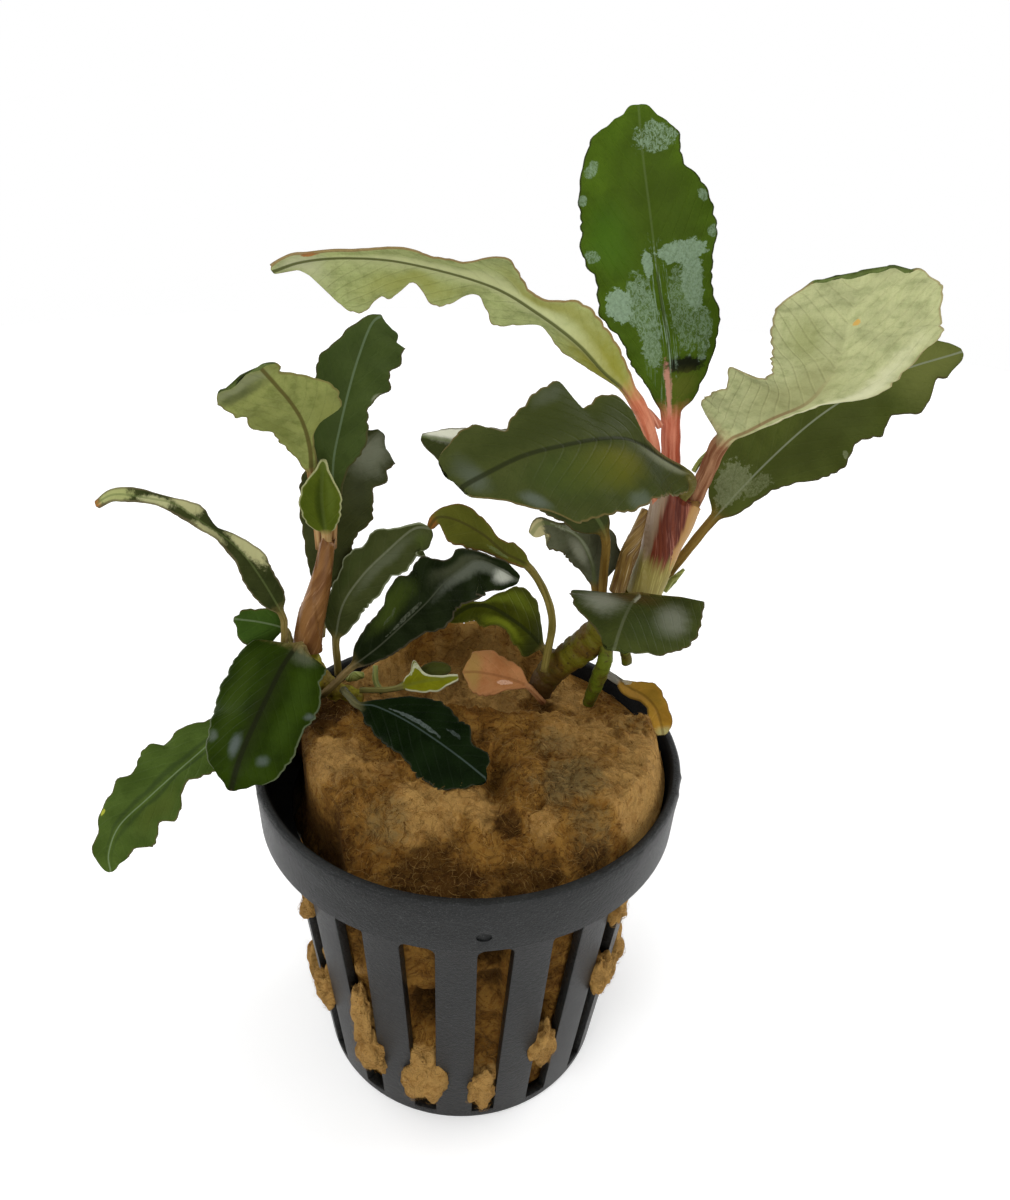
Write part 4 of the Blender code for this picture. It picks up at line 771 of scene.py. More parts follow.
LOOKS = {
    "leaf_right_upright": Look(
        "leaf_green", (0.044, 0.077, 0.005), (0.066, 0.116, 0.008), (0.22, 0.25, 0.1), PINK,
        rib=(0.12, 0.16, 0.06), rib_strength=0.3, rib_width=0.11, edge=(0.02, 0.02, 0.008),
        painted_sheen=(0.19, 0.265, 0.18),
        painted_sheens=((0.41, 0.68, 0.055, 0.2, 0.85, 0.1), (0.36, 0.36, 0.13, 0.26, 0.6, 0.75),
               (0.52, 0.14, 0.045, 0.08, 0.8, 0.1), (0.54, -0.45, 0.035, 0.42, 0.8, 0.25),
               (0.44, -0.62, 0.1, 0.2, 0.75, 0.3), (0.36, -0.42, 0.14, 0.3, 0.45, 0.85),
               (0.24, 0.4, 0.07, 0.22, 0.6, 0.5), (0.26, -0.72, 0.08, 0.14, 0.5, 0.8),
               (0.9, -0.38, 0.045, 0.52, 0.62, 0.9), (0.835, 0.84, 0.022, 0.1, 0.6, 0.6),
               (0.75, 0.93, 0.016, 0.07, 0.6, 0.5), (0.575, 0.88, 0.02, 0.1, 0.6, 0.7),
               (0.7, -0.9, 0.02, 0.08, 0.6, 0.6), (0.585, -0.92, 0.02, 0.07, 0.6, 0.6)),
        streaks=((0.34, 0, 0.2, 0.2, 0.75), (0.12, 0.35, 0.1, 0.3, 0.5)),
        tints=((0.62, 0.6, 0.1, 0.3, 0.5, (0.052, 0.125, 0.01)),
               (0.74, -0.2, 0.2, 0.6, 0.5, (0.045, 0.068, 0.009)),
               (0.175, -0.34, 0.026, 0.5, 0.97, (0.009, 0.01, 0.005), 0.4),
               (0.105, -0.4, 0.045, 0.45, 0.6, (0.12, 0.13, 0.02)),
               (0.07, 0.1, 0.11, 0.14, 0.9, (0.52, 0.25, 0.18), 0.5),
               (0.33, 0, 0.19, 0.03, 0.85, (0.024, 0.04, 0.008), 0.5))),
    "leaf_right_arching": Look(
        "leaf_pale", (0.09, 0.12, 0.03), (0.13, 0.17, 0.05), (0.38, 0.42, 0.17),
        ((0.44, 0.12, 0.06), (0.6, 0.24, 0.14)), under_rib=(0.075, 0.085, 0.022), edge=(0.22, 0.12, 0.05),
        edge_strength=0.75,
        # The olive-yellow under tints are painted glow of light through the thin lobes.
        under_tints=((0.11, 0, 0.12, 1.1, 0.9, (0.23, 0.22, 0.025)),
                     (0.34, 0.62, 0.12, 0.3, 0.7, (0.27, 0.26, 0.055)),
                     (0.66, -0.62, 0.12, 0.3, 0.7, (0.26, 0.27, 0.06)),
                     (0.5, 0.1, 0.34, 0.3, 0.8, (0.5, 0.52, 0.26)),
                     (0.93, 0.1, 0.05, 0.8, 0.6, (0.5, 0.5, 0.32)), (0.9, 0.8, 0.018, 0.2, 0.9, RUST, 0.5)),
        under_streaks=0.5, roughness=0.5),
    "leaf_right_front": Look(
        "leaf_dark", (0.038, 0.047, 0.011), (0.054, 0.064, 0.016), (0.2, 0.23, 0.09),
        ((0.1, 0.085, 0.02), (0.17, 0.15, 0.04)), rib=(0.016, 0.019, 0.006), rib_strength=0.8,
        rib_width=0.22, edge=(0.13, 0.095, 0.035),
        # The olive-yellow first tint is painted glow of light through the blade; the grey tints near the
        # tip, along the margins and near the foot are painted sheen.
        tints=((0.55, 0.42, 0.15, 0.25, 0.85, (0.11, 0.105, 0.008)),
               (0.68, 0.4, 0.14, 0.3, 0.6, (0.04, 0.062, 0.012)),
               (0.3, 0.65, 0.16, 0.25, 0.5, (0.034, 0.046, 0.012)),
               (0.955, 0, 0.03, 0.5, 0.6, (0.085, 0.1, 0.075)),
               (0.86, 0.8, 0.025, 0.16, 0.6, (0.11, 0.13, 0.105)),
               (0.55, 0.92, 0.035, 0.1, 0.6, (0.1, 0.12, 0.09)),
               (0.14, 0.1, 0.17, 0.2, 0.8, (0.22, 0.23, 0.145)),
               (0.62, -0.45, 0.28, 0.35, 0.7, (0.03, 0.038, 0.008)),
               (0.62, -0.85, 0.05, 0.12, 0.4, (0.09, 0.1, 0.07)))),
    "leaf_right_pale": Look(
        "leaf_pale", (0.09, 0.12, 0.03), (0.13, 0.17, 0.05), (0.5, 0.52, 0.26),
        ((0.17, 0.065, 0.03), (0.36, 0.19, 0.1)), under_rib=(0.25, 0.17, 0.075), under_rib_fade=0.62,
        edge=(0.27, 0.19, 0.09), edge_strength=0.6,
        under_tints=((0.4, 0.78, 0.24, 0.16, 0.85, (0.66, 0.66, 0.42)),
                     (0.42, -0.2, 0.2, 0.4, 0.6, (0.31, 0.31, 0.13)),
                     (0.72, -0.55, 0.1, 0.22, 0.6, (0.26, 0.28, 0.1)),
                     (0.8, 0.08, 0.012, 0.04, 0.8, (0.62, 0.34, 0.06), 0.6)), under_streaks=0.3,
        roughness=0.55),
    "leaf_right_side": Look(
        "leaf_green", (0.045, 0.056, 0.01), (0.06, 0.074, 0.014), (0.17, 0.2, 0.08), OLIVE_STALK,
        rib=(0.17, 0.19, 0.12), rib_strength=0.85, rib_width=0.1, edge=(0.05, 0.04, 0.018),
        painted_sheens=((0.13, 0.25, 0.085, 0.5, 0.75, 0.3), (0.19, -0.4, 0.06, 0.35, 0.5, 0.6),
               (0.83, 0.9, 0.014, 0.07, 0.8, 0.2), (0.5, -0.9, 0.012, 0.07, 0.8, 0.2),
               (0.62, 0.88, 0.012, 0.06, 0.7, 0.3)),
        tints=((0.9, 0, 0.12, 1, 0.7, (0.125, 0.138, 0.035)),
               (0.6, 0.3, 0.03, 0.07, 0.6, (0.022, 0.026, 0.008)),
               (0.45, -0.4, 0.2, 0.4, 0.5, (0.036, 0.044, 0.01))), painted_sheen=(0.12, 0.135, 0.065)),
    "leaf_right_behind": Look(
        "leaf_dark", (0.026, 0.032, 0.009), (0.04, 0.048, 0.013), (0.12, 0.13, 0.05), OLIVE_STALK,
        tints=((0.88, -0.6, 0.26, 0.5, 1, (0.62, 0.62, 0.5)),)),
    "leaf_right_curled": Look(
        "leaf_dark", (0.06, 0.064, 0.034), (0.1, 0.105, 0.062), (0.34, 0.32, 0.15), OLIVE_STALK,
        painted_sheens=((0.68, -0.2, 0.12, 0.3, 0.4, 0.7),),
        # The two grey tints on the blade are painted sheen.
        tints=((0.97, 0, 0.1, 1.2, 0.9, (0.38, 0.34, 0.17), 0.5),
               (0.4, 0.35, 0.16, 0.25, 0.8, (0.24, 0.25, 0.18)),
               (0.45, 0, 0.22, 0.05, 0.8, (0.32, 0.33, 0.26))), painted_sheen=(0.26, 0.27, 0.2)),
    "leaf_right_crown": Look(
        "leaf_dark", (0.036, 0.045, 0.01), (0.054, 0.066, 0.015), (0.14, 0.16, 0.06),
        ((0.19, 0.125, 0.03), (0.33, 0.25, 0.08)), rib=(0.13, 0.14, 0.08), rib_width=0.16,
        # The three pale grey tints are painted sheen.
        tints=((0.4, -0.48, 0.22, 0.32, 0.9, (0.26, 0.27, 0.205)),
               (0.4, 0.6, 0.2, 0.2, 0.85, (0.18, 0.19, 0.14)),
               (0.16, -0.05, 0.14, 0.35, 0.7, (0.075, 0.042, 0.012)),
               (0.15, 0.03, 0.12, 0.03, 0.9, (0.4, 0.4, 0.3), 0.6),
               (0.62, 0.3, 0.2, 0.4, 0.5, (0.04, 0.056, 0.016)))),
    "leaf_right_yellowed": Look(
        "leaf_yellow", (0.24, 0.125, 0.014), (0.35, 0.19, 0.024), (0.2, 0.11, 0.02),
        ((0.05, 0.045, 0.035), (0.3, 0.29, 0.24)), rib=(0.09, 0.045, 0.008), rib_width=0.16,
        edge=(0.1, 0.055, 0.012), edge_strength=0.6,
        tints=((0.3, -0.5, 0.22, 0.4, 0.6, (0.33, 0.18, 0.04)),
               (0.52, 0.3, 0.12, 0.5, 0.5, (0.16, 0.1, 0.012)),
               (0.97, 0.2, 0.06, 0.9, 0.7, (0.36, 0.36, 0.16))), painted_sheens=((0.06, 0.6, 0.1, 0.5, 0.7, 0.5),),
        painted_sheen=(0.33, 0.34, 0.28)),
    "leaf_right_olive": Look(
        "leaf_olive", (0.06, 0.062, 0.008), (0.082, 0.084, 0.011), (0.14, 0.13, 0.03),
        ((0.1, 0.08, 0.015), (0.19, 0.15, 0.04)), rib=(0.04, 0.034, 0.008), rib_strength=0.7,
        rib_width=0.14, edge=(0.13, 0.065, 0.02), tints=((0.97, 0, 0.06, 1.2, 0.85, (0.2, 0.07, 0.015)),),
        painted_sheens=((0.3, 0.4, 0.1, 0.2, 0.3, 0.6),)),
    "leaf_right_low": Look(
        "leaf_lime", (0.03, 0.034, 0.002), (0.05, 0.058, 0.004), (0.18, 0.19, 0.03),
        ((0.1, 0.07, 0.02), (0.22, 0.16, 0.05)), rib=(0.016, 0.019, 0.004), rib_strength=0.8,
        rib_width=0.22, edge=(0.12, 0.11, 0.02), edge_strength=0.5,
        # The two bright yellow-green tints are painted glow of light through the blade.
        tints=((0.48, 0.62, 0.2, 0.24, 0.7, (0.15, 0.18, 0.012)),
               (0.52, -0.62, 0.2, 0.22, 0.6, (0.12, 0.15, 0.012)),
               (0.1, 0, 0.1, 1.2, 0.8, (0.03, 0.035, 0.008)))),
    "leaf_right_pink": Look(
        "leaf_pink", (0.29, 0.115, 0.04), (0.41, 0.185, 0.075), (0.3, 0.13, 0.05),
        ((0.24, 0.1, 0.035), (0.36, 0.18, 0.08)), rib=(0.17, 0.065, 0.022), rib_width=0.16,
        edge=(0.28, 0.13, 0.05), edge_strength=0.6, tints=((0.88, 0, 0.12, 1, 0.6, (0.3, 0.21, 0.055)),),
        painted_sheens=((0.35, 0.35, 0.12, 0.16, 0.5, 0.4),), painted_sheen=(0.58, 0.38, 0.28)),
    "leaf_left_upright": Look(
        "leaf_dark", (0.038, 0.056, 0.013), (0.05, 0.072, 0.017), (0.16, 0.19, 0.08),
        ((0.2, 0.1, 0.035), (0.36, 0.22, 0.1)), rib=(0.11, 0.15, 0.08), rib_strength=0.7, rib_width=0.12,
        edge=(0.06, 0.05, 0.02),
        tints=((0.45, 0.5, 0.2, 0.4, 0.5, (0.034, 0.05, 0.013)), (0.6, -0.93, 0.02, 0.06, 0.6, SCAR))),
    "leaf_left_pale": Look(
        "leaf_pale", (0.07, 0.09, 0.02), (0.1, 0.13, 0.04), (0.26, 0.285, 0.085),
        ((0.28, 0.13, 0.05), (0.42, 0.27, 0.12)), under_rib=(0.09, 0.075, 0.02), edge=(0.15, 0.12, 0.04),
        under_tints=((0.96, -0.5, 0.04, 0.6, 0.8, (0.19, 0.205, 0.11)),
                     (0.9, -0.6, 0.035, 0.5, 0.7, (0.065, 0.075, 0.03)),
                     (0.4, 0.6, 0.2, 0.3, 0.6, (0.24, 0.26, 0.07)),
                     (0.45, -0.7, 0.2, 0.2, 0.5, (0.12, 0.14, 0.03))), under_streaks=0.3, roughness=0.5),
    "leaf_left_rear": Look(
        "leaf_dark", (0.03, 0.034, 0.01), (0.044, 0.05, 0.015), (0.12, 0.13, 0.05),
        ((0.1, 0.07, 0.02), (0.2, 0.15, 0.06)), rib=(0.06, 0.065, 0.03), rib_width=0.12,
        # The pale grey tint near the tip is a painted highlight.
        tints=((0.86, -0.28, 0.12, 0.45, 0.8, (0.21, 0.22, 0.155)),
               (0.68, -0.5, 0.14, 0.4, 0.4, (0.06, 0.068, 0.035)))),
    "leaf_left_young": Look(
        "leaf_green", (0.056, 0.076, 0.006), (0.075, 0.1, 0.009), (0.3, 0.33, 0.12),
        ((0.26, 0.15, 0.05), (0.42, 0.3, 0.14)), rib_strength=0.2, edge=(0.36, 0.36, 0.18),
        edge_strength=0.75,
        tints=((0.35, 0.15, 0.35, 0.16, 0.7, (0.024, 0.036, 0.004)),
               (0.6, -0.45, 0.3, 0.2, 0.6, (0.085, 0.115, 0.016)))),
    "leaf_left_inner": Look(
        "leaf_green", (0.032, 0.039, 0.01), (0.046, 0.054, 0.016), (0.14, 0.15, 0.06),
        ((0.12, 0.09, 0.02), (0.22, 0.17, 0.06)), rib=(0.15, 0.16, 0.1), rib_width=0.12,
        edge=(0.2, 0.22, 0.13), edge_strength=0.8,
        tints=((0.62, -0.22, 0.22, 0.22, 0.5, (0.1, 0.11, 0.07)),
               (0.4, 0.6, 0.2, 0.25, 0.5, (0.032, 0.045, 0.01)),
               (0.92, -0.5, 0.06, 0.3, 0.5, (0.05, 0.07, 0.012)))),
    "leaf_left_glossy": Look(
        "leaf_dark", (0.005, 0.008, 0.002), (0.011, 0.016, 0.005), (0.09, 0.1, 0.04),
        ((0.1, 0.07, 0.02), (0.2, 0.14, 0.06)), rib=(0.055, 0.06, 0.038), rib_strength=0.6, rib_width=0.09,
        edge=(0.06, 0.05, 0.03),
        painted_sheens=((0.36, 0.1, 0.12, 0.05, 0.6, 0.7), (0.3, 0.5, 0.05, 0.06, 0.4, 0.8)),
        # The two grey tints near the tip are painted highlights.
        tints=((0.8, -0.12, 0.2, 0.2, 0.7, (0.11, 0.12, 0.09)),
               (0.93, -0.25, 0.035, 0.3, 0.9, (0.38, 0.39, 0.33)),
               (0.72, 0.3, 0.12, 0.25, 0.6, (0.06, 0.065, 0.036)),
               (0.34, 0.65, 0.14, 0.3, 0.7, (0.04, 0.058, 0.008))), painted_sheen=(0.068, 0.075, 0.05),
        roughness=0.26),
    "leaf_left_twisted": Look(
        "leaf_green", (0.024, 0.03, 0.008), (0.04, 0.048, 0.013), (0.27, 0.265, 0.12),
        ((0.12, 0.09, 0.02), (0.24, 0.18, 0.07)), rib_width=0.1, edge=(0.12, 0.1, 0.05),
        tints=((0.36, -0.6, 0.09, 0.5, 0.9, (0.4, 0.39, 0.19), 0.7),
               (0.52, 0.6, 0.07, 0.5, 0.9, (0.4, 0.39, 0.19), 0.7),
               (0.65, -0.6, 0.06, 0.6, 0.9, (0.4, 0.39, 0.19), 0.7),
               (0.77, 0.3, 0.06, 0.7, 0.9, (0.42, 0.42, 0.21), 0.7),
               (0.92, 0, 0.06, 1.2, 0.9, (0.34, 0.36, 0.14), 0.7), (1, 0, 0.02, 1.4, 0.9, RUST))),
    "leaf_left_small": Look(
        "leaf_green", (0.028, 0.056, 0.007), (0.038, 0.075, 0.01), (0.14, 0.18, 0.06),
        ((0.12, 0.1, 0.02), (0.24, 0.2, 0.07)), rib=(0.12, 0.16, 0.08), rib_strength=0.7, rib_width=0.1),
    "leaf_left_drooping": Look(
        "leaf_dark", (0.012, 0.023, 0.001), (0.021, 0.039, 0.0015), (0.12, 0.14, 0.05),
        ((0.14, 0.1, 0.03), (0.26, 0.2, 0.08)), rib=(0.01, 0.012, 0.004), rib_strength=0.85, rib_width=0.3,
        edge=(0.12, 0.14, 0.08), edge_strength=0.6,
        # The four blue-grey tints are painted reflections.
        tints=((0.5, 0, 0.6, 0.22, 0.7, (0.014, 0.02, 0.004)),
               (0.4, 0.6, 0.28, 0.2, 0.6, (0.034, 0.062, 0.006)),
               (0.45, -0.6, 0.25, 0.2, 0.6, (0.034, 0.056, 0.006)),
               (0.75, -0.24, 0.06, 0.12, 0.7, (0.1, 0.12, 0.115)),
               (0.8, 0.5, 0.03, 0.12, 0.6, (0.09, 0.11, 0.1)),
               (0.47, 0.9, 0.03, 0.08, 0.6, (0.11, 0.13, 0.12)),
               (0.72, -0.85, 0.03, 0.1, 0.6, (0.1, 0.12, 0.1)),
               (0.06, 0.35, 0.06, 0.3, 0.6, (0.1, 0.11, 0.07)),
               (1, 0, 0.012, 0.12, 0.9, (0.26, 0.08, 0.04), 0.5))),
    "leaf_left_low": Look(
        "leaf_green", (0.04, 0.066, 0.01), (0.062, 0.098, 0.017), (0.16, 0.19, 0.07),
        ((0.16, 0.12, 0.03), (0.3, 0.24, 0.09)), rib=(0.15, 0.2, 0.1), rib_strength=0.75, rib_width=0.08,
        edge=(0.09, 0.075, 0.03),
        tints=((0.78, -0.88, 0.012, 0.08, 0.9, (0.36, 0.38, 0.04), 0.5),
               (0.62, 0.5, 0.12, 0.3, 0.5, (0.06, 0.078, 0.012)),
               (0.5, -0.16, 0.4, 0.07, 0.6, (0.022, 0.036, 0.01)),
               (0.5, 0.16, 0.4, 0.07, 0.6, (0.022, 0.036, 0.01)))),
    "leaf_left_on_wool": Look(
        "leaf_dark", (0.003, 0.007, 0.0015), (0.006, 0.013, 0.003), (0.06, 0.07, 0.03),
        ((0.05, 0.05, 0.02), (0.12, 0.11, 0.05)), rib=(0.05, 0.07, 0.06), rib_strength=0.7, rib_width=0.1,
        edge=(0.03, 0.03, 0.018),
        painted_sheens=((0.42, 0.15, 0.2, 0.06, 0.5, 0.35), (0.66, 0.5, 0.06, 0.06, 0.3, 0.5)),
        painted_sheen=(0.11, 0.135, 0.125), roughness=0.26),
    "leaf_left_curled": Look(
        "leaf_lime", (0.15, 0.152, 0.004), (0.2, 0.205, 0.007), (0.2, 0.2, 0.05),
        ((0.12, 0.11, 0.03), (0.2, 0.18, 0.06)), rib_strength=0.2, edge=(0.5, 0.5, 0.34), edge_strength=0.9,
        painted_sheens=((0.4, 0.75, 0.2, 0.15, 0.8, 0.2),), painted_sheen=(0.44, 0.46, 0.32)),
    "leaf_left_oval": Look(
        "leaf_olive", (0.05, 0.055, 0.01), (0.075, 0.083, 0.015), (0.12, 0.12, 0.03),
        ((0.08, 0.08, 0.02), (0.14, 0.14, 0.05)), rib_strength=0.2),
}


def build_leaves():
    for seed, leaf in enumerate(LEAVES, start=1):
        look = LOOKS[leaf.name]
        surfaces = [leaf_surface(leaf.name + "_upper", look, seed, False),
                    leaf_surface(leaf.name + "_under", look, seed, True)]
        points, flats, places = leaf_points(leaf, seed)
        rows = len(points) // LEAF_SIDES
        is_under = [int(k >= LEAF_SIDES // 2) for k in range(LEAF_SIDES)] * (rows - 1) + [0, 0]
        faces = ring_faces(rows, LEAF_SIDES)
        fields = {"flat": flats, "place": places}
        made = add_mesh(leaf.name + "_fine", points, faces, surfaces, fields, is_under)
        stand_for(made, look.slot, leaf.name)


# Stems, sheaths, roots

def build_tube(node, slot, points, radii, surface, shape, sides, step=0.16, lip=0.0):
    """A tube round a smooth curve. shape gives the radius factor at a turn and a length along it.

    lip is how far the upper end is drawn out into tongues.
    """
    path = Path(points)
    rows = max(int(path.total / step), 6) + 1
    lengths = np.linspace(0.0, path.total, rows)
    centres = path.point(lengths)
    along = path.direction(lengths)
    around = np.array([1.0, 0.0, 0.0])
    radius_at = np.interp(lengths, np.linspace(0, path.total, len(radii)), radii)
    rings, flats, rounds = [], [], []
    for row, length in enumerate(lengths):
        around = around - along[row] * np.dot(around, along[row])
        around /= np.linalg.norm(around)
        up = np.cross(along[row], around)
        torn_end = lip * smoothstep((length / path.total - 0.75) / 0.25)
        for k in range(sides):
            turn = 2 * math.pi * k / sides
            outwards = math.cos(turn) * around + math.sin(turn) * up
            radius = radius_at[row] * shape(turn, length, path.total)
            torn = torn_end * (0.5 + 0.35 * math.sin(3 * turn + 1.0) + 0.3 * math.sin(5 * turn))
            rings.append(centres[row] + outwards * radius + along[row] * torn)
            flats.append((radius_at[row] * turn, length, length / path.total))
            rounds.append((math.cos(turn), math.sin(turn), 0.0))
    fields = {"flat": flats, "round": rounds}
    stand_for(add_mesh(node + "_fine", rings, ring_faces(rows, sides), [surface], fields), slot, node)


def ringed(seed):
    """A rhizome: rings where old leaves sat, and soft lumps."""
    def shape(turn, length, total):
        at = (math.cos(turn) * 1.2, math.sin(turn) * 1.2, length * 0.5)
        ring = abs(math.sin(length * 1.9 + seed + 0.4 * math.sin(turn + seed))) ** 6
        end = min(1.0, 0.55 + 0.9 * min(length, total - length))
        return (1 + 0.10 * rough(at, 1.0, seed) + 0.04 * rough(at, 4.0, seed) - 0.05 * ring) * end
    return shape


def fluted(seed, ribs, depth):
    """A sheath: overlapping folded edges that run lengthwise."""
    def shape(turn, length, _):
        fold = (turn * ribs / (2 * math.pi) + 0.10 * length + seed) % 1.0
        at = (math.cos(turn), math.sin(turn), length * 0.3)
        return 1 + depth * (fold - 0.5) + 0.05 * rough(at, 1.2, seed)
    return shape


def fuzzy(seed):
    """A root: small lumps all over."""
    def shape(turn, length, _):
        at = (math.cos(turn), math.sin(turn), length)
        return 1 + 0.14 * rough(at, 0.9, seed) + 0.07 * rough(at, 3.5, seed)
    return shape


def striped_surface(name, dark, light, pale, across_scale=2.6, foot=None, wings=None):
    """Lengthwise stripes from dark to light, a few pale ones and brown flecks.

    foot colours the lower end. wings colours the left and the right side.
    """
    surface = Surface(name, 0.42, 0.2)
    flat, place = surface.field("flat"), surface.place()
    lines = surface.noise(flat * (across_scale, 0.12, 0.0), 1.0, 3.0, 0.6)
    thin = surface.noise(flat * (across_scale * 3.2, 0.2, 0.0), 1.0, 2.0, 0.6)
    fine = surface.noise(place, 3.0, 3.0, 0.6)
    ragged = (lines - 0.5) * 0.5
    surface.base(lines.rise(0.38, 0.6), dark, light)
    surface.cover(thin.rise(0.56, 0.70, 0.8), pale)
    if wings:
        left, right = wings
        rightwards = surface.parts(surface.field("round"))[0] + ragged
        surface.cover(rightwards.rise(0.42, 0.62), right)
        surface.cover(rightwards.rise(-0.50, -0.72), left)
    surface.tone(surface.noise(place, 1.6, 3.0, 0.7).rise(0.60, 0.72, 0.3), (0.35, 0.25, 0.18))
    if foot:
        foot_colour = surface.mixed(thin.rise(0.5, 0.7), foot, (1.5, 1.6, 1.9), "MULTIPLY")
        surface.cover((surface.parts(flat)[2] + ragged).rise(0.50, 0.30), foot_colour)
    return surface.finish(fine * 0.2 + 0.34, thin * 0.10 + fine * 0.05)


def rhizome_surface(name, green, brown, dark, foot=None):
    """Blotches from green to brown with darker bands. foot colours the lower end."""
    surface = Surface(name, 0.5, 0.10)
    place = surface.place()
    _, along, share = surface.parts(surface.field("flat"))
    middle = surface.noise(place, 1.4, 4.0, 0.65)
    fine = surface.noise(place, 4.5, 2.0, 0.6)
    surface.base(surface.noise(place, 0.35, 3.0, 0.6).rise(0.40, 0.60), green, brown)
    surface.cover(middle.rise(0.55, 0.72, 0.85), dark)
    surface.tone((along * 3.8).math("SINE").rise(0.80, 0.98, 0.3), (0.45, 0.35, 0.25))
    if foot:
        surface.cover(((middle - 0.5) * 0.4 + share).rise(0.34, 0.10), foot)
    return surface.finish(middle * 0.3 + 0.34, middle * 0.18 + fine * 0.07)


# Fibres: thin strands on the wool

def build_strands(name, lines, radii, tones, surface):
    """Each line of points becomes a thin three-sided tube with closed ends."""
    points, faces, tone = [], [], []
    turns = 2 * math.pi * np.arange(3)[:, None] / 3
    for line, radius, value in zip(lines, radii, tones):
        count = len(line)
        along = np.gradient(line, axis=0)
        along /= np.maximum(np.linalg.norm(along, axis=1, keepdims=True), 1e-9)
        side = np.cross(along, STRAND_GUIDE)
        side /= np.maximum(np.linalg.norm(side, axis=1, keepdims=True), 1e-9)
        up = np.cross(along, side)
        thin = radius * (0.35 + 0.65 * np.sin(np.pi * np.linspace(0.12, 0.88, count)))
        ring = np.cos(turns) * side[:, None] + np.sin(turns) * up[:, None]
        faces += ring_faces(count, 3, len(points))
        points += list((line[:, None] + thin[:, None, None] * ring).reshape(-1, 3))
        tone += [value] * 3 * count
    return add_mesh(name, points, faces, [surface], {"tone": tone})


def strands_on(points, normals, rng, count, length, lift, bend, steps=6):
    """Curved strands that lie along a surface, from points of it picked at random."""
    picks = rng.integers(0, len(points), count)
    lines = []
    for pick in picks:
        normal = normals[pick]
        heading = np.cross(normal, rng.normal(size=3))
        heading /= max(np.linalg.norm(heading), 1e-6)
        side = np.cross(normal, heading)
        reach = length * rng.uniform(0.4, 1.0)
        turn = rng.normal() * bend
        rise = lift * rng.uniform(0.1, 1.0)
        sink = lift * rng.uniform(0.0, 0.8)
        t = np.linspace(-0.5, 0.5, steps)[:, None]
        line = (points[pick] + heading * reach * t + side * turn * reach * (t**2)
                + normal * (rise * (1 - 4 * t**2) - sink * 4 * t**2 + 0.05))
        lines.append(line)
    return lines


# Mineral wool

# Soft marks on the wool's upper side: x, y, radius, strength
WOOL_ALGAE = [
    (-8.6, -17.5, 3, 0.6), (12.3, -11.3, 4.4, 0.8), (10.5, -4.5, 3.4, 0.6), (20.5, 0.5, 2.6, 0.5),
    (14.5, -17, 3, 0.6), (-14.5, -12, 2, 0.4),
]
# Dark marks, partly soaked patches and partly painted shade in the hollow between the front lumps and the
# flap behind: x, y, radius, strength
WOOL_WET_AND_SHADE = [
    (-16, -19, 5, 0.9), (-3, -24, 6, 1), (5.2, -17, 1.6, 1), (4.2, -9, 1.4, 0.7), (8, -24, 5, 0.9),
    (17, -21, 4.5, 0.8), (-4.5, -5.5, 4, 0.75), (-18.5, 0.5, 4.5, 1), (9, 8.5, 3.6, 0.9), (-22, -8, 3, 0.9),
    (-11, 5.5, 3.6, 0.8), (22.5, 9, 2.4, 0.9), (0.5, 7, 2.4, 0.4), (2.5, -3.5, 2.5, 0.5),
]
WOOL_PALE = [
    (-3.7, -16.5, 4.5, 0.9), (-15.5, -9, 4, 0.8), (-10.5, -10.5, 3, 0.5), (2, -15, 3, 0.7),
    (20.5, -11, 5.4, 1), (23.5, -5, 5.2, 1), (14, -2, 6, 0.7), (0.6, 14, 8, 1), (-14, 13, 6, 0.9),
    (9, -17, 2.4, 0.6), (19.5, 4.4, 4, 0.6), (12, 14, 5, 0.8),
]

# What shows in the slots: angle, height, half height, reach outwards (negative is a hollow)
SLOT_WOOL = [
    (-78.75, 33.5, 3, -5), (-78.75, 27, 3, -1.8), (-78.75, 19, 7, -1), (-78.75, 8.6, 4, 1.6),
    (-101.25, 33.5, 6, -1), (-101.25, 21, 3.4, -4.5), (-101.25, 11, 5.2, 2.2), (-123.75, 33, 3, -2.5),
    (-123.75, 24, 9, 0.5), (-123.75, 12.5, 5, 1.6), (-146.25, 30, 3, -2), (-146.25, 21, 6, 0.9),
    (-146.25, 13, 3, 1.3), (-56.25, 31, 6, -0.6), (-56.25, 18.5, 2, -3), (-56.25, 13, 3.8, 1.4),
    (-33.75, 33, 4, 0.8), (-33.75, 21.5, 3, 1.8), (-33.75, 11, 4, -2), (-11.25, 30, 5, 0.8),
    (-11.25, 16, 4, 1.2),
]

# Tufts that bulge through the slots: angle, height, radius of the middle, reach out, across, up
TUFTS = [
    (-101.8, 9.8, 20.3, 1.6, 2.6, 4.4), (-80, 7.6, 20.2, 1.4, 1.8, 3.2), (-122, 10.8, 20.6, 1.5, 2.1, 3.6),
    (-124.5, 18.5, 21.4, 1.2, 1.5, 5), (-57.5, 13.8, 20.9, 1.3, 1.7, 3.8), (-34.5, 21.8, 22.2, 1.5, 1.8, 3),
    (-147.5, 15.5, 21.1, 1.5, 1.7, 3.4), (-147, 31.5, 22.9, 1.1, 1.3, 1.6), (-33, 33.5, 23, 1.2, 1.6, 2.2),
    (-169, 12, 20.8, 1.4, 1.9, 4), (-11, 17, 21.4, 1.3, 1.8, 4.2), (56, 12, 20.7, 1.4, 2, 4),
    (101, 20, 21.6, 1.3, 1.7, 4.5), (146.5, 10.5, 20.6, 1.4, 1.9, 3.6), (11.5, 9.5, 20.5, 1.3, 1.9, 3.2),
    (79, 8.5, 20.3, 1.3, 1.8, 3), (123.5, 26, 22.3, 1.3, 1.6, 3.4), (168.5, 25, 22.2, 1.2, 1.7, 3.6),
]


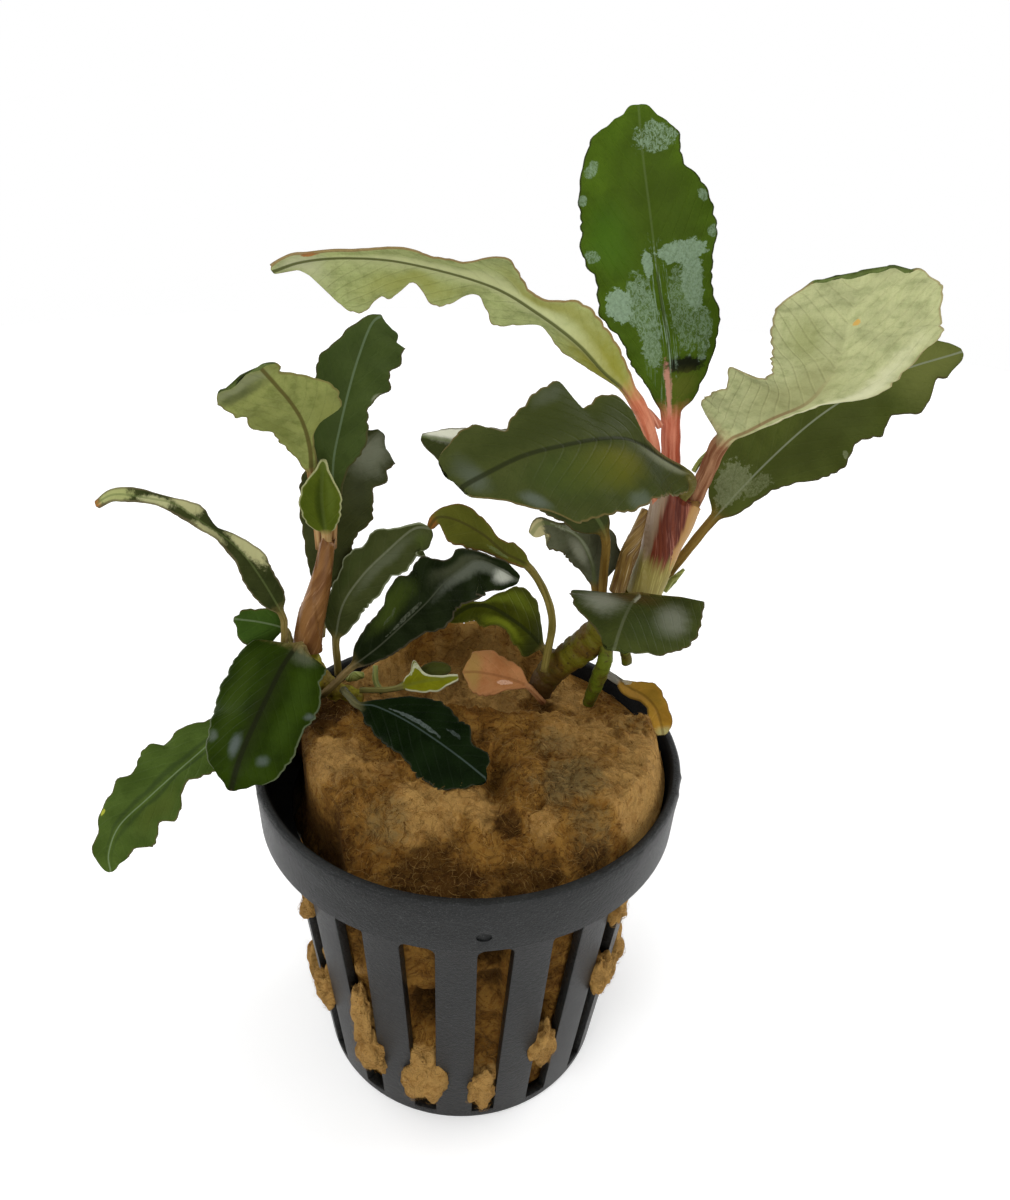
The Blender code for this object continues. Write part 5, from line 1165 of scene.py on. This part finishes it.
def wool_height(x, y):
    """Height of the wool's upper side: two lumps in front, a crevice between them, a flap behind."""
    radius = math.hypot(x, y)
    lump = smoothstep((y + 23.0) / 9.0) * smoothstep((6.5 - y) / 4.5) * smoothstep((25.6 - radius) / 3.0)
    rise = (WOOL_LUMP_HEIGHT - WOOL_HOLLOW_HEIGHT) * lump
    crevice = 3.0 * math.exp(-(((x - 3.5) / 1.6) ** 2)) * smoothstep((-4.0 - y) / 8.0) * lump
    angle = math.degrees(math.atan2(y, x))
    flap_span = smoothstep((angle - 50) / 25) * smoothstep((150 - angle) / 45)
    flap = math.exp(-(((radius - WOOL_FLAP_RADIUS) / 1.9) ** 2)) * flap_span
    return WOOL_HOLLOW_HEIGHT + rise - crevice + (WOOL_FLAP_HEIGHT - WOOL_HOLLOW_HEIGHT) * flap


def wool_edge(angle):
    """Radius of the wool inside the collar: it stands away from the collar on the left."""
    left = smoothstep((angle - 165) / 15) * smoothstep((245 - angle) / 20)
    return COLLAR_FOOT_RADIUS - WALL - GAP - 4.2 * left


def wool_relief(x, y):
    """Torn layers, tufts and pits on top of the wool's main form."""
    at = (x, y, 0.0)
    big = 0.9 * rough(at, 0.16, 2.0) + 0.5 * rough(at, 0.38, 5.0)
    layer = (2.2 * rough(at, 0.20, 31.0) + 0.5 * rough(at, 0.9, 33.0)) % 1.0
    step = 0.7 * (smoothstep(layer / 0.22) - layer)
    ridge = 0.55 * (1 - abs(rough((x * 0.8 + y * 0.5, y - x * 0.3, 0), 0.30, 9.0)) * 2.4)
    small = 0.22 * rough(at, 0.9, 4.0) + 0.11 * rough(at, 2.2, 8.0)
    pit = -0.5 * smoothstep((rough(at, 0.75, 21.0) - 0.42) / 0.2)
    return big + step + max(ridge, -0.3) + small + pit


def slot_relief(angle, height):
    """How far the wool stands out of, or back from, the pot's wall at this angle and height."""
    reach = 0.0
    for number in range(SLOT_COUNT):
        middle = SLOT_FIRST_ANGLE + 360.0 * number / SLOT_COUNT
        away = abs((angle - middle + 180) % 360 - 180)
        if away < 11.25:
            window = smoothstep((5.9 - away) / 2.2)
            marks = [mark for mark in SLOT_WOOL if abs((mark[0] - middle + 180) % 360 - 180) < 1]
            if not marks:
                marks = [(middle, 12.0 + 5 * rough((number, 0, 0), 0.7, 3.0), 4.5, 1.3),
                         (middle, 24.0 + 5 * rough((number, 4, 0), 0.7, 5.0), 4.0, -2.2),
                         (middle, 33.0, 4.0, 0.6)]
            for _, centre, half, out in marks:
                reach += window * out * math.exp(-(((height - centre) / half) ** 2))
            reach += window * (0.9 * rough((angle * 0.35, height, 0), 0.35, 6.0) - 0.1)
    return reach


def soft_marks(marks, x, y):
    total = 0.0
    for mark_x, mark_y, radius, strength in marks:
        away = math.hypot(x - mark_x, y - mark_y) / radius
        away += 0.35 * rough((x, y, mark_x), 0.5, mark_y)
        total = max(total, strength * smoothstep(1.45 - away))
    return total


def side_point(angle, height, share):
    """A point on the wool's side, share of the way up it, with its colour marks and painted shade."""
    foot_radius = BASE_RADIUS - WALL - GAP
    radius = foot_radius + (BODY_TOP_RADIUS - WALL - GAP - 0.3 - foot_radius) * share
    reach = slot_relief((angle + 180) % 360 - 180, height)
    spot = on_circle(radius, angle, height)
    fine = 0.16 * rough(spot, 0.9, 3.0) + 0.08 * rough(spot, 2.4, 4.0) - 0.15
    low = smoothstep((height - WALL - GAP) / 1.5)
    spot = on_circle(radius + (max(reach, DEEPEST_HOLLOW) + fine) * low, angle, height)
    hollow = smoothstep((-reach - 0.6) / 2.0)
    proud = smoothstep((reach - 0.1) / 1.2)
    # Painted shade: darker where the wool lies back from the wall in a slot, less dark where it stands out,
    # and varying at random.
    damp_and_shade = 0.42 + 0.5 * hollow - 0.27 * proud + 0.35 * rough(spot, 0.2, 8.0)
    return spot, (min(max(damp_and_shade, 0.0), 1.0), 0.5 * max(rough(spot, 0.13, 12.0), 0.0), 0.95 * proud)


def top_point(angle, edge, share):
    """A point on the wool's top, share of the way from its middle to its edge, with its colour marks and
    painted shade.
    """
    spot = on_circle(edge * (0.03 + 0.97 * share), angle)
    x, y = spot.x, spot.y
    border = smoothstep((1 - share) / 0.08)
    spot.z = wool_height(x, y) + (wool_relief(x, y) - 0.35) * border - 0.8 * (1 - border)
    wet_and_shade = soft_marks(WOOL_WET_AND_SHADE, x, y)
    # Painted shade: the low hollows of the top are darkened, less so towards the right side.
    hollow_shade = smoothstep((49.5 - spot.z) / 4.0) * 0.5 * smoothstep((18.0 - x) / 8.0)
    pale = soft_marks(WOOL_PALE, x, y) * (1 - 0.7 * wet_and_shade)
    return spot, (min(max(wet_and_shade, hollow_shade), 1.0), soft_marks(WOOL_ALGAE, x, y), pale)


def wool_points():
    """Columns of points from the wool's foot up its side and over its top, with their colour marks and
    painted shade.
    """
    up = np.linspace(0.0, 1.0, WOOL_ROWS)
    heights = np.linspace(WALL + GAP, LEDGE - 2.0, WOOL_ROWS)
    found = []
    for k in range(WOOL_COLUMNS):
        angle = 360.0 * k / WOOL_COLUMNS
        edge = wool_edge(angle)
        found += [side_point(angle, height, share) for height, share in zip(heights, up)]
        # The step under the collar gets painted shade: fully dark.
        for radius, height in ((min(BODY_TOP_RADIUS - WALL - GAP, edge), LEDGE + WALL + GAP + 0.2),
                               (edge, LEDGE + WALL + GAP + 0.9), (edge, WOOL_HOLLOW_HEIGHT - 2.6)):
            found.append((on_circle(radius, angle, height), (1.0, 0.0, 0.0)))
        found += [top_point(angle, edge, share) for share in (1 - up**1.25)[:-1]]
    points, stains_and_shade = zip(*found)
    return list(points), list(stains_and_shade)


def wool_surface():
    surface = Surface("wool", 0.85, 0.06)
    place = surface.place()
    wet_and_shade, algae, pale = surface.parts(surface.field("stain_and_shade"))
    cloud = surface.noise(place, 0.30, 4.0, 0.6)
    middle = surface.noise(place, 1.1, 5.0, 0.68, 0.6)
    fibre = surface.noise(place * (1.0, 2.6, 2.2), 2.6, 4.0, 0.72, 1.5)
    cross = surface.noise(place * (2.8, 0.9, 2.2), 2.4, 4.0, 0.72, 1.8)
    fine = surface.noise(place, 6.5, 3.0, 0.7)
    clump = surface.noise(place, 0.85, 4.0, 0.65, 0.8)
    crease = abs(surface.noise(place, 0.42, 4.0, 0.62, 1.1) - 0.5)
    ragged = (middle - 0.5) * 1.2
    surface.base(cloud.rise(0.36, 0.62), (0.25, 0.112, 0.018), (0.42, 0.212, 0.042))
    surface.cover((pale + ragged).rise(0.15, 0.85, 0.8), (0.68, 0.40, 0.125))
    surface.cover((algae + ragged).rise(0.25, 0.9, 0.8), (0.27, 0.20, 0.08))
    # Dark brown where soaked, and painted shade in the hollows, in the slots and under the collar.
    surface.cover((wet_and_shade + ragged).rise(0.25, 0.95, 0.85), (0.06, 0.024, 0.004))
    surface.cover(fibre.rise(0.54, 0.68, 0.35), (0.50, 0.30, 0.095))
    surface.tone(cross.rise(0.52, 0.66, 0.6), (0.45, 0.36, 0.28))
    surface.tone(surface.noise(place, 2.1, 2.0, 0.5).rise(0.66, 0.74, 0.8), (0.30, 0.2, 0.13))
    surface.tone(clump.rise(0.50, 0.64, 0.55), (0.60, 0.46, 0.32))
    # Painted shade in the creases, except on the pale patches.
    surface.tone(crease.rise(0.022, 0.0, 0.65) * pale.rise(0.9, 0.4), (0.30, 0.20, 0.12))
    height = (fibre - cross) * 0.35 + (middle + crease.rise(0.0, 0.05, 0.8)) * 0.5 + fine * 0.12
    return surface.finish(fine * 0.4 + 0.62, height, 1.0)


def strand_surface(name, dark, light):
    surface = Surface(name, 0.7, 0.2)
    patchy = surface.field("tone", "Fac") + (surface.noise(surface.place(), 0.4) - 0.5) * 0.8
    surface.base(patchy.rise(0.0, 1.0), dark, light)
    return surface.finish()


def blob(centre, size, seed, rows=26, sides=36):
    """A lumpy tuft of wool: size is its reach outwards, round the pot and up it."""
    up = Vector((0, 0, 1))
    outwards = Vector((centre.x, centre.y, 0)).normalized()
    across = up.cross(outwards)
    points = []
    for row in range(1, rows):
        tilt = math.pi * row / rows
        for k in range(sides):
            unit = on_circle(math.sin(tilt), 360.0 * k / sides, math.cos(tilt))
            lumps = 0.50 * rough(unit, 1.4, seed) + 0.26 * rough(unit, 3, seed) + 0.06 * rough(unit, 8, seed)
            reach = outwards * unit.x * size[0] + across * unit.y * size[1] + up * unit.z * size[2]
            points.append(centre + reach * (1 + lumps))
    top, bottom = len(points), len(points) + 1
    points += [centre + up * size[2], centre - up * size[2]]
    faces = [face[:1] + face[:0:-1] for face in ring_faces(rows - 1, sides, closed=False)]
    last = (rows - 2) * sides
    for k in range(sides):
        after = (k + 1) % sides
        faces += [(top, k, after), (bottom, last + after, last + k)]
    return points, faces


def build_wool():
    points, stains_and_shade = wool_points()
    count = len(points) // WOOL_COLUMNS
    faces = column_faces(WOOL_COLUMNS, count)
    rng = np.random.default_rng(WOOL_SEED)
    body = np.array([tuple(point) for point in points]).reshape(WOOL_COLUMNS, count, 3)
    slope = np.cross(np.roll(body, -1, axis=0) - np.roll(body, 1, axis=0), np.gradient(body, axis=1))
    normals = slope / np.maximum(np.linalg.norm(slope, axis=2, keepdims=True), 1e-9)
    keep = rng.random((WOOL_COLUMNS, count)) < np.linalg.norm(body[:, :, :2], axis=2) / 26.0
    keep[:, :WOOL_SIDE_ROWS] = False
    keep[:, -WOOL_MIDDLE_ROWS:] = False
    tuft_points, tuft_normals = [], []
    for number, (angle, height, radius, *size) in enumerate(TUFTS):
        middle = on_circle(radius, angle, height)
        more, more_faces = blob(middle, size, 3.1 * number)
        faces += [tuple(i + len(points) for i in face) for face in more_faces]
        points += more
        for point in more:
            proud = smoothstep((math.hypot(point.x, point.y) - radius) / 1.2)
            # Painted shade: the part of a tuft inside the wall is darkened.
            stains_and_shade.append((0.35 * (1 - proud), 0.0, 0.7 + 0.5 * proud))
            if proud > 0.2:
                tuft_points.append(tuple(point))
                tuft_normals.append(tuple((point - middle).normalized()))
    points = [tuple(point) for point in points]
    made = add_mesh("wool_fine", points, faces, [wool_surface()], {"stain_and_shade": stains_and_shade})
    stand_for(made, "wool", "mineral_wool")

    lines = strands_on(body[keep], normals[keep], rng, TOP_FIBRES, 1.9, 0.16, 0.8)
    lines += strands_on(np.array(tuft_points), np.array(tuft_normals), rng, TUFT_FIBRES, 1.3, 0.35, 0.9)
    radii = rng.uniform(0.010, 0.021, len(lines))
    tones = rng.uniform(0.0, 1.0, len(lines))
    fibre = strand_surface("wool_fibre", (0.20, 0.10, 0.02), (0.42, 0.245, 0.075))
    stand_for(build_strands("wool_fibres", lines, radii, tones, fibre), "wool")


# Net pot

def prism(outline):
    """Closed faces of a prism whose points are one end's outline and then the other's."""
    sides = len(outline) // 2
    faces = [tuple(range(sides)), tuple(range(sides, 2 * sides))]
    for k in range(sides):
        after = (k + 1) % sides
        faces.append((k, after, sides + after, sides + k))
    return faces


def rounded_slot(half, low, high, corner, share):
    """Outline of a slot with round corners. share is the corner's size in the angle's units."""
    outline = [(-half + share * 0.4, low), (half - share * 0.4, low)]
    for step in range(6):
        turn = math.radians(90 * step / 5)
        outline.append((half - share + share * math.cos(turn), high - corner + corner * math.sin(turn)))
    for step in range(6):
        turn = math.radians(90 + 90 * step / 5)
        outline.append((-half + share + share * math.cos(turn), high - corner + corner * math.sin(turn)))
    return outline


def pot_cutters():
    """Closed prisms where the slots, the drain slots and the dimple are cut out."""
    half = SLOT_WIDTH_ANGLE / 2
    outline = rounded_slot(half, SLOT_BOTTOM, SLOT_TOP, SLOT_CORNER, half * SLOT_CORNER / SLOT_HALF_WIDTH)
    shapes = []
    for k in range(SLOT_COUNT):
        first = SLOT_FIRST_ANGLE + 360.0 * k / SLOT_COUNT
        shapes.append([on_circle(radius, first + turn, height)
                       for radius in SLOT_CUT_RADII for turn, height in outline])
    for k in range(DRAIN_COUNT):
        angle = 360.0 * k / DRAIN_COUNT
        along, across = on_circle(1.0, angle), on_circle(1.0, angle + 90) * DRAIN_WIDTH / 2
        corners = [along * DRAIN_INNER + across * 0.7, along * DRAIN_INNER - across * 0.7,
                   along * DRAIN_OUTER - across, along * DRAIN_OUTER + across]
        shapes.append([corner + Vector((0, 0, height))
                       for height in DRAIN_CUT_HEIGHTS for corner in corners])
    dimple = []
    for radius in (RIM_RADIUS - DIMPLE_DEPTH, RIM_RADIUS + 1.0):
        for k in range(DIMPLE_SIDES):
            turn = 2 * math.pi * k / DIMPLE_SIDES
            angle = DIMPLE_ANGLE + math.degrees(DIMPLE_RADIUS * math.cos(turn) / RIM_RADIUS)
            dimple.append(on_circle(radius, angle, DIMPLE_HEIGHT + DIMPLE_RADIUS * 0.7 * math.sin(turn)))
    shape = bmesh.new()
    for points in shapes + [dimple]:
        corners = [shape.verts.new(point * MM) for point in points]
        for face in prism(points):
            shape.faces.new([corners[i] for i in face])
    bmesh.ops.recalc_face_normals(shape, faces=shape.faces)
    mesh = bpy.data.meshes.new("pot_cutters")
    shape.to_mesh(mesh)
    shape.free()
    return add_object("pot_cutters", mesh)


def pot_profile():
    """Radius and height of each ring of the pot, up the outside and down the inside."""
    lean = (BODY_TOP_RADIUS - BASE_RADIUS) / LEDGE
    return [
        (BASE_RADIUS - 0.5, 0.0), (BASE_RADIUS - 0.15, 0.14), (BASE_RADIUS, 0.5),
        *((BASE_RADIUS + lean * height, height) for height in (10.0, 20.0, 30.0)),
        (BODY_TOP_RADIUS, LEDGE), (COLLAR_FOOT_RADIUS - 0.2, LEDGE), (COLLAR_FOOT_RADIUS, LEDGE + 0.2),
        (COLLAR_FOOT_RADIUS + 0.1, LEDGE + 2.4), (COLLAR_FOOT_RADIUS + 0.2, LEDGE + 4.8),
        (RIM_RADIUS, POT_HEIGHT - 0.35), (RIM_RADIUS - 0.1, POT_HEIGHT - 0.1),
        (RIM_RADIUS - 0.35, POT_HEIGHT), (RIM_RADIUS - WALL + 0.25, POT_HEIGHT),
        (RIM_RADIUS - WALL, POT_HEIGHT - 0.25), (COLLAR_FOOT_RADIUS - WALL, LEDGE + WALL),
        (BODY_TOP_RADIUS - WALL, LEDGE + WALL / 2), (BASE_RADIUS - WALL + lean * WALL, WALL)]


def rim_nick(angle, height):
    """Tiny flash and nicks left by the mould along the collar's upper edge."""
    if height < POT_HEIGHT - 0.5:
        return 0.0
    at = on_circle(RIM_RADIUS, angle)
    return 0.05 * rough(at, 0.8, 4.0) + 0.22 * smoothstep((rough(at, 0.55, 9.0) - 0.42) / 0.15)


def pot_surface():
    surface = Surface("pot_plastic", 0.34, 0.27)
    place = surface.place()
    height = surface.parts(place)[2]
    level = (place * (1.0, 1.0, 0.0)).math("LENGTH")
    inside = level.rise(RIM_RADIUS - 0.7, RIM_RADIUS - WALL + 0.1) * height.rise(LEDGE, LEDGE + 0.4)
    cloud = surface.noise(place, 0.12, 4.0, 0.6)
    grain = surface.noise(place, 2.2, 3.0, 0.6)
    fine = surface.noise(place, 7.0, 2.0, 0.6)
    scratch = surface.noise(place * (0.5, 0.5, 5.0), 1.0, 3.0, 0.7, 0.4)
    dust = surface.node("TexVoronoi", {"Vector": place, "Scale": 0.9}, "Distance")
    surface.base(cloud.rise(0.35, 0.65), (0.003, 0.0036, 0.0036), (0.007, 0.0078, 0.0076))
    surface.cover(scratch.rise(0.60, 0.72, 0.3), (0.035, 0.037, 0.036))
    surface.tone(fine.rise(0.50, 0.64, 0.7), (0.45, 0.45, 0.45))
    surface.cover(fine.rise(0.42, 0.32, 0.7), (0.055, 0.058, 0.057))
    surface.cover(dust.rise(0.11, 0.05, 0.4), (0.06, 0.062, 0.058))
    surface.cover(height.rise(30.0, 2.0) * grain.rise(0.45, 0.7) * 0.3, (0.05, 0.042, 0.03))
    # Painted shade: the inside of the collar is darkened.
    surface.tone(inside, (0.2, 0.2, 0.2))
    dryness = (grain + cloud * 0.6) * 0.16 + 0.22 + inside * 0.5
    return surface.finish(dryness, grain * 0.12 + fine * 0.09, 0.8)


def build_pot():
    profile = pot_profile()
    points = []
    for k in range(POT_SEGMENTS):
        angle = SLOT_FIRST_ANGLE + 360.0 * (k + 0.5) / POT_SEGMENTS
        for radius, height in profile:
            nick = rim_nick(angle, height) if radius > RIM_RADIUS - 0.6 else 0.0
            points.append(tuple(on_circle(radius + nick * 0.6, angle, height)))
    faces = column_faces(POT_SEGMENTS, len(profile))
    pot = add_mesh("pot_fine", points, faces, [pot_surface()], smooth=False)
    cutters = pot_cutters()
    cut = pot.modifiers.new("slots", "BOOLEAN")
    cut.operation, cut.solver, cut.object = "DIFFERENCE", "EXACT", cutters
    soften = pot.modifiers.new("edges", "BEVEL")
    soften.width, soften.segments, soften.limit_method = POT_EDGE * MM, 2, "ANGLE"
    soften.angle_limit = math.radians(38)
    graph = bpy.context.evaluated_depsgraph_get()
    mesh = bpy.data.meshes.new_from_object(pot.evaluated_get(graph))
    pot.modifiers.clear()
    pot.data = mesh
    bpy.data.objects.remove(cutters, do_unlink=True)
    mesh.polygons.foreach_set("use_smooth", [True] * len(mesh.polygons))
    mesh.set_sharp_from_angle(angle=math.radians(32))
    stand_for(pot, "pot", "pot")


def build_stems():
    olive = rhizome_surface("rhizome_olive", (0.10, 0.088, 0.006), (0.085, 0.05, 0.006),
                            (0.026, 0.015, 0.004), foot=(0.045, 0.022, 0.005))
    lime = rhizome_surface("rhizome_green", (0.22, 0.20, 0.01), (0.14, 0.095, 0.008), (0.03, 0.02, 0.006))
    root = rhizome_surface("root_green", (0.095, 0.12, 0.008), (0.09, 0.075, 0.01), (0.045, 0.034, 0.008))
    red = striped_surface("sheath_red", (0.09, 0.015, 0.006), (0.17, 0.036, 0.014), (0.46, 0.17, 0.11), 1.6,
                          foot=(0.27, 0.22, 0.055), wings=((0.26, 0.18, 0.11), (0.40, 0.22, 0.065)))
    tan = striped_surface("sheath_tan", (0.125, 0.05, 0.012), (0.20, 0.092, 0.026), (0.34, 0.18, 0.08), 0.7)
    gold = striped_surface("sheath_golden", (0.11, 0.055, 0.012), (0.22, 0.13, 0.03),
                           (0.55, 0.44, 0.24), 1.6)
    green = striped_surface("shoot_green", (0.12, 0.14, 0.02), (0.26, 0.28, 0.07), (0.45, 0.46, 0.20))
    pink = striped_surface("shoot_pink", (0.42, 0.13, 0.07), (0.60, 0.24, 0.14), (0.72, 0.42, 0.30))

    build_tube("rhizome_right", "rhizome",
               [(8.7, 10.8, 49), (10.3, 11, 52.6), (13.4, 10.5, 56.3), (16.4, 10, 59.9), (18.8, 9, 64),
                (20.4, 8.2, 66.4)],
               (1.7, 2.0, 2.2, 2.3, 2.2), olive, ringed(2.0), 56)
    build_tube("rhizome_left", "rhizome",
               [(-22.3, 8.1, 55.4), (-21, 8, 51.8), (-18.6, 7.6, 49.6), (-14.8, 7, 49.2)],
               (1.7, 1.9, 1.9, 1.5), lime, ringed(5.0), 52)
    build_tube("sheath_right", "sheath", [(20.9, 8, 67), (22.8, 8.9, 74), (23.9, 9.5, 79.2)],
               (2.2, 2.4, 2.9), red, fluted(1.0, 4, 0.16), 56, 0.2, 1.6)
    build_tube("sheath_old", "sheath", [(17.5, 6.4, 68.2), (18.7, 6.5, 74), (19.9, 7.3, 79)],
               (1.0, 1.1, 0.4), gold, fluted(3.0, 3, 0.14), 36, 0.2)
    build_tube("sheath_left", "sheath",
               [(-21.9, 8.1, 56.6), (-21.1, 8.5, 61.4), (-19.6, 9, 67.1), (-18.9, 9.5, 71.2)],
               (1.9, 1.7, 1.3, 0.9), tan, fluted(2.0, 3, 0.14), 52, 0.2, 1.0)
    build_tube("root_right_front", "root",
               [(17, 9, 59.6), (17.2, 8.2, 58.2), (17, 7.9, 56.4), (16.5, 9, 52.7), (15.7, 9.8, 48.6)],
               (0.8, 1.0, 1.05, 0.95, 0.8), root, fuzzy(4.0), 40)
    build_tube("root_right_rear", "root", [(20.9, 11.3, 62.4), (20.2, 12, 57), (20.7, 12.6, 53.7)],
               (0.7, 0.7, 0.7), root, fuzzy(6.0), 28)
    build_tube("sheath_pale", "rhizome", [(23.9, 9.4, 66.9), (24.8, 9.4, 68.4), (26.1, 9.8, 69.9)],
               (0.4, 0.5, 0.2), green, fluted(1.0, 2, 0.1), 20)
    build_tube("shoot_tip_pink", "sheath", [(21, 10.6, 88.3), (19.5, 10.3, 90), (17.9, 10, 91.4)],
               (0.5, 0.4, 0.12), pink, fluted(1.0, 2, 0.1), 20)
    build_tube("shoot_tip_green", "root", [(25.4, 9.1, 83.4), (26, 9.2, 84.7), (26.8, 9.4, 86)],
               (0.3, 0.3, 0.1), green, fluted(1.0, 2, 0.1), 20)
    build_tube("bud_left", "root", [(-17.4, 10.2, 50.4), (-16.2, 10.4, 50.9), (-15, 10.4, 51.1)],
               (0.4, 0.7, 0.4), green, fuzzy(2.0), 24)
    build_tube("root_left_loop", "root", [(-13.5, 11.2, 52.2), (-13.3, 9.8, 50.6), (-12.3, 8.8, 49.4)],
               (0.35, 0.4, 0.4), green, fuzzy(8.0), 24)


# Camera, light and floor

def place_camera():
    rise, roll = math.radians(CAMERA_RISE), math.radians(CAMERA_ROLL)
    back = Vector((0, -math.cos(rise), math.sin(rise)))
    level_right = Vector((0, 0, 1)).cross(back).normalized()
    level_up = back.cross(level_right)
    right = math.cos(roll) * level_right + math.sin(roll) * level_up
    up = -math.sin(roll) * level_right + math.cos(roll) * level_up
    data = bpy.data.cameras.new("photo_view")
    data.lens, data.sensor_width, data.sensor_fit = LENS, SENSOR, "AUTO"
    data.clip_start = 0.005
    camera = add_object("photo_view", data)
    turned = Matrix((right, up, back)).transposed().to_4x4()
    turned.translation = (Vector(CAMERA_AIM) + CAMERA_DISTANCE * back) * MM
    camera.matrix_world = turned
    bpy.context.scene.camera = camera


def light_scene():
    for name, place, aim, size, watts in LIGHTS:
        data = bpy.data.lights.new(name, "AREA")
        data.shape = "DISK"
        data.size, data.energy = size, watts
        light = add_object(name, data)
        light.location = place
        light.rotation_euler = (Vector(aim) - Vector(place)).to_track_quat("-Z", "Y").to_euler()
    world = bpy.data.worlds.new("studio")
    world.use_nodes = True
    tree = world.node_tree
    background = tree.nodes["Background"]
    path = tree.nodes.new("ShaderNodeLightPath")
    mix = tree.nodes.new("ShaderNodeMix")
    mix.inputs[2].default_value = WORLD_STRENGTH
    mix.inputs[3].default_value = 1.0
    tree.links.new(path.outputs["Is Camera Ray"], mix.inputs[0])
    tree.links.new(mix.outputs[0], background.inputs["Strength"])
    background.inputs["Color"].default_value = (1.0, 1.0, 1.0, 1.0)
    bpy.context.scene.world = world
    bpy.context.scene.view_settings.view_transform = "Standard"


def build_floor():
    """A white disc that shows only the soft contact shadow round the pot's foot."""
    surface = Surface("floor_pale", 0.9, 0.0)
    glow = surface.node("LightPath", {}, "Is Camera Ray") * FLOOR_GLOW
    surface.put(surface.shader["Emission Color"], (1.0, 1.0, 1.0))
    surface.put(surface.shader["Emission Strength"], glow)
    surface.colour = (0.85, 0.85, 0.85)
    points = [on_circle(FLOOR_RADIUS, 360.0 * k / FLOOR_SIDES) for k in range(FLOOR_SIDES)]
    floor = add_mesh("floor", points, [tuple(range(FLOOR_SIDES))], [surface.finish()], smooth=False)


build_pot()
build_wool()
build_stems()
build_leaves()
place_camera()
light_scene()
build_floor()

bpy.context.view_layer.update()
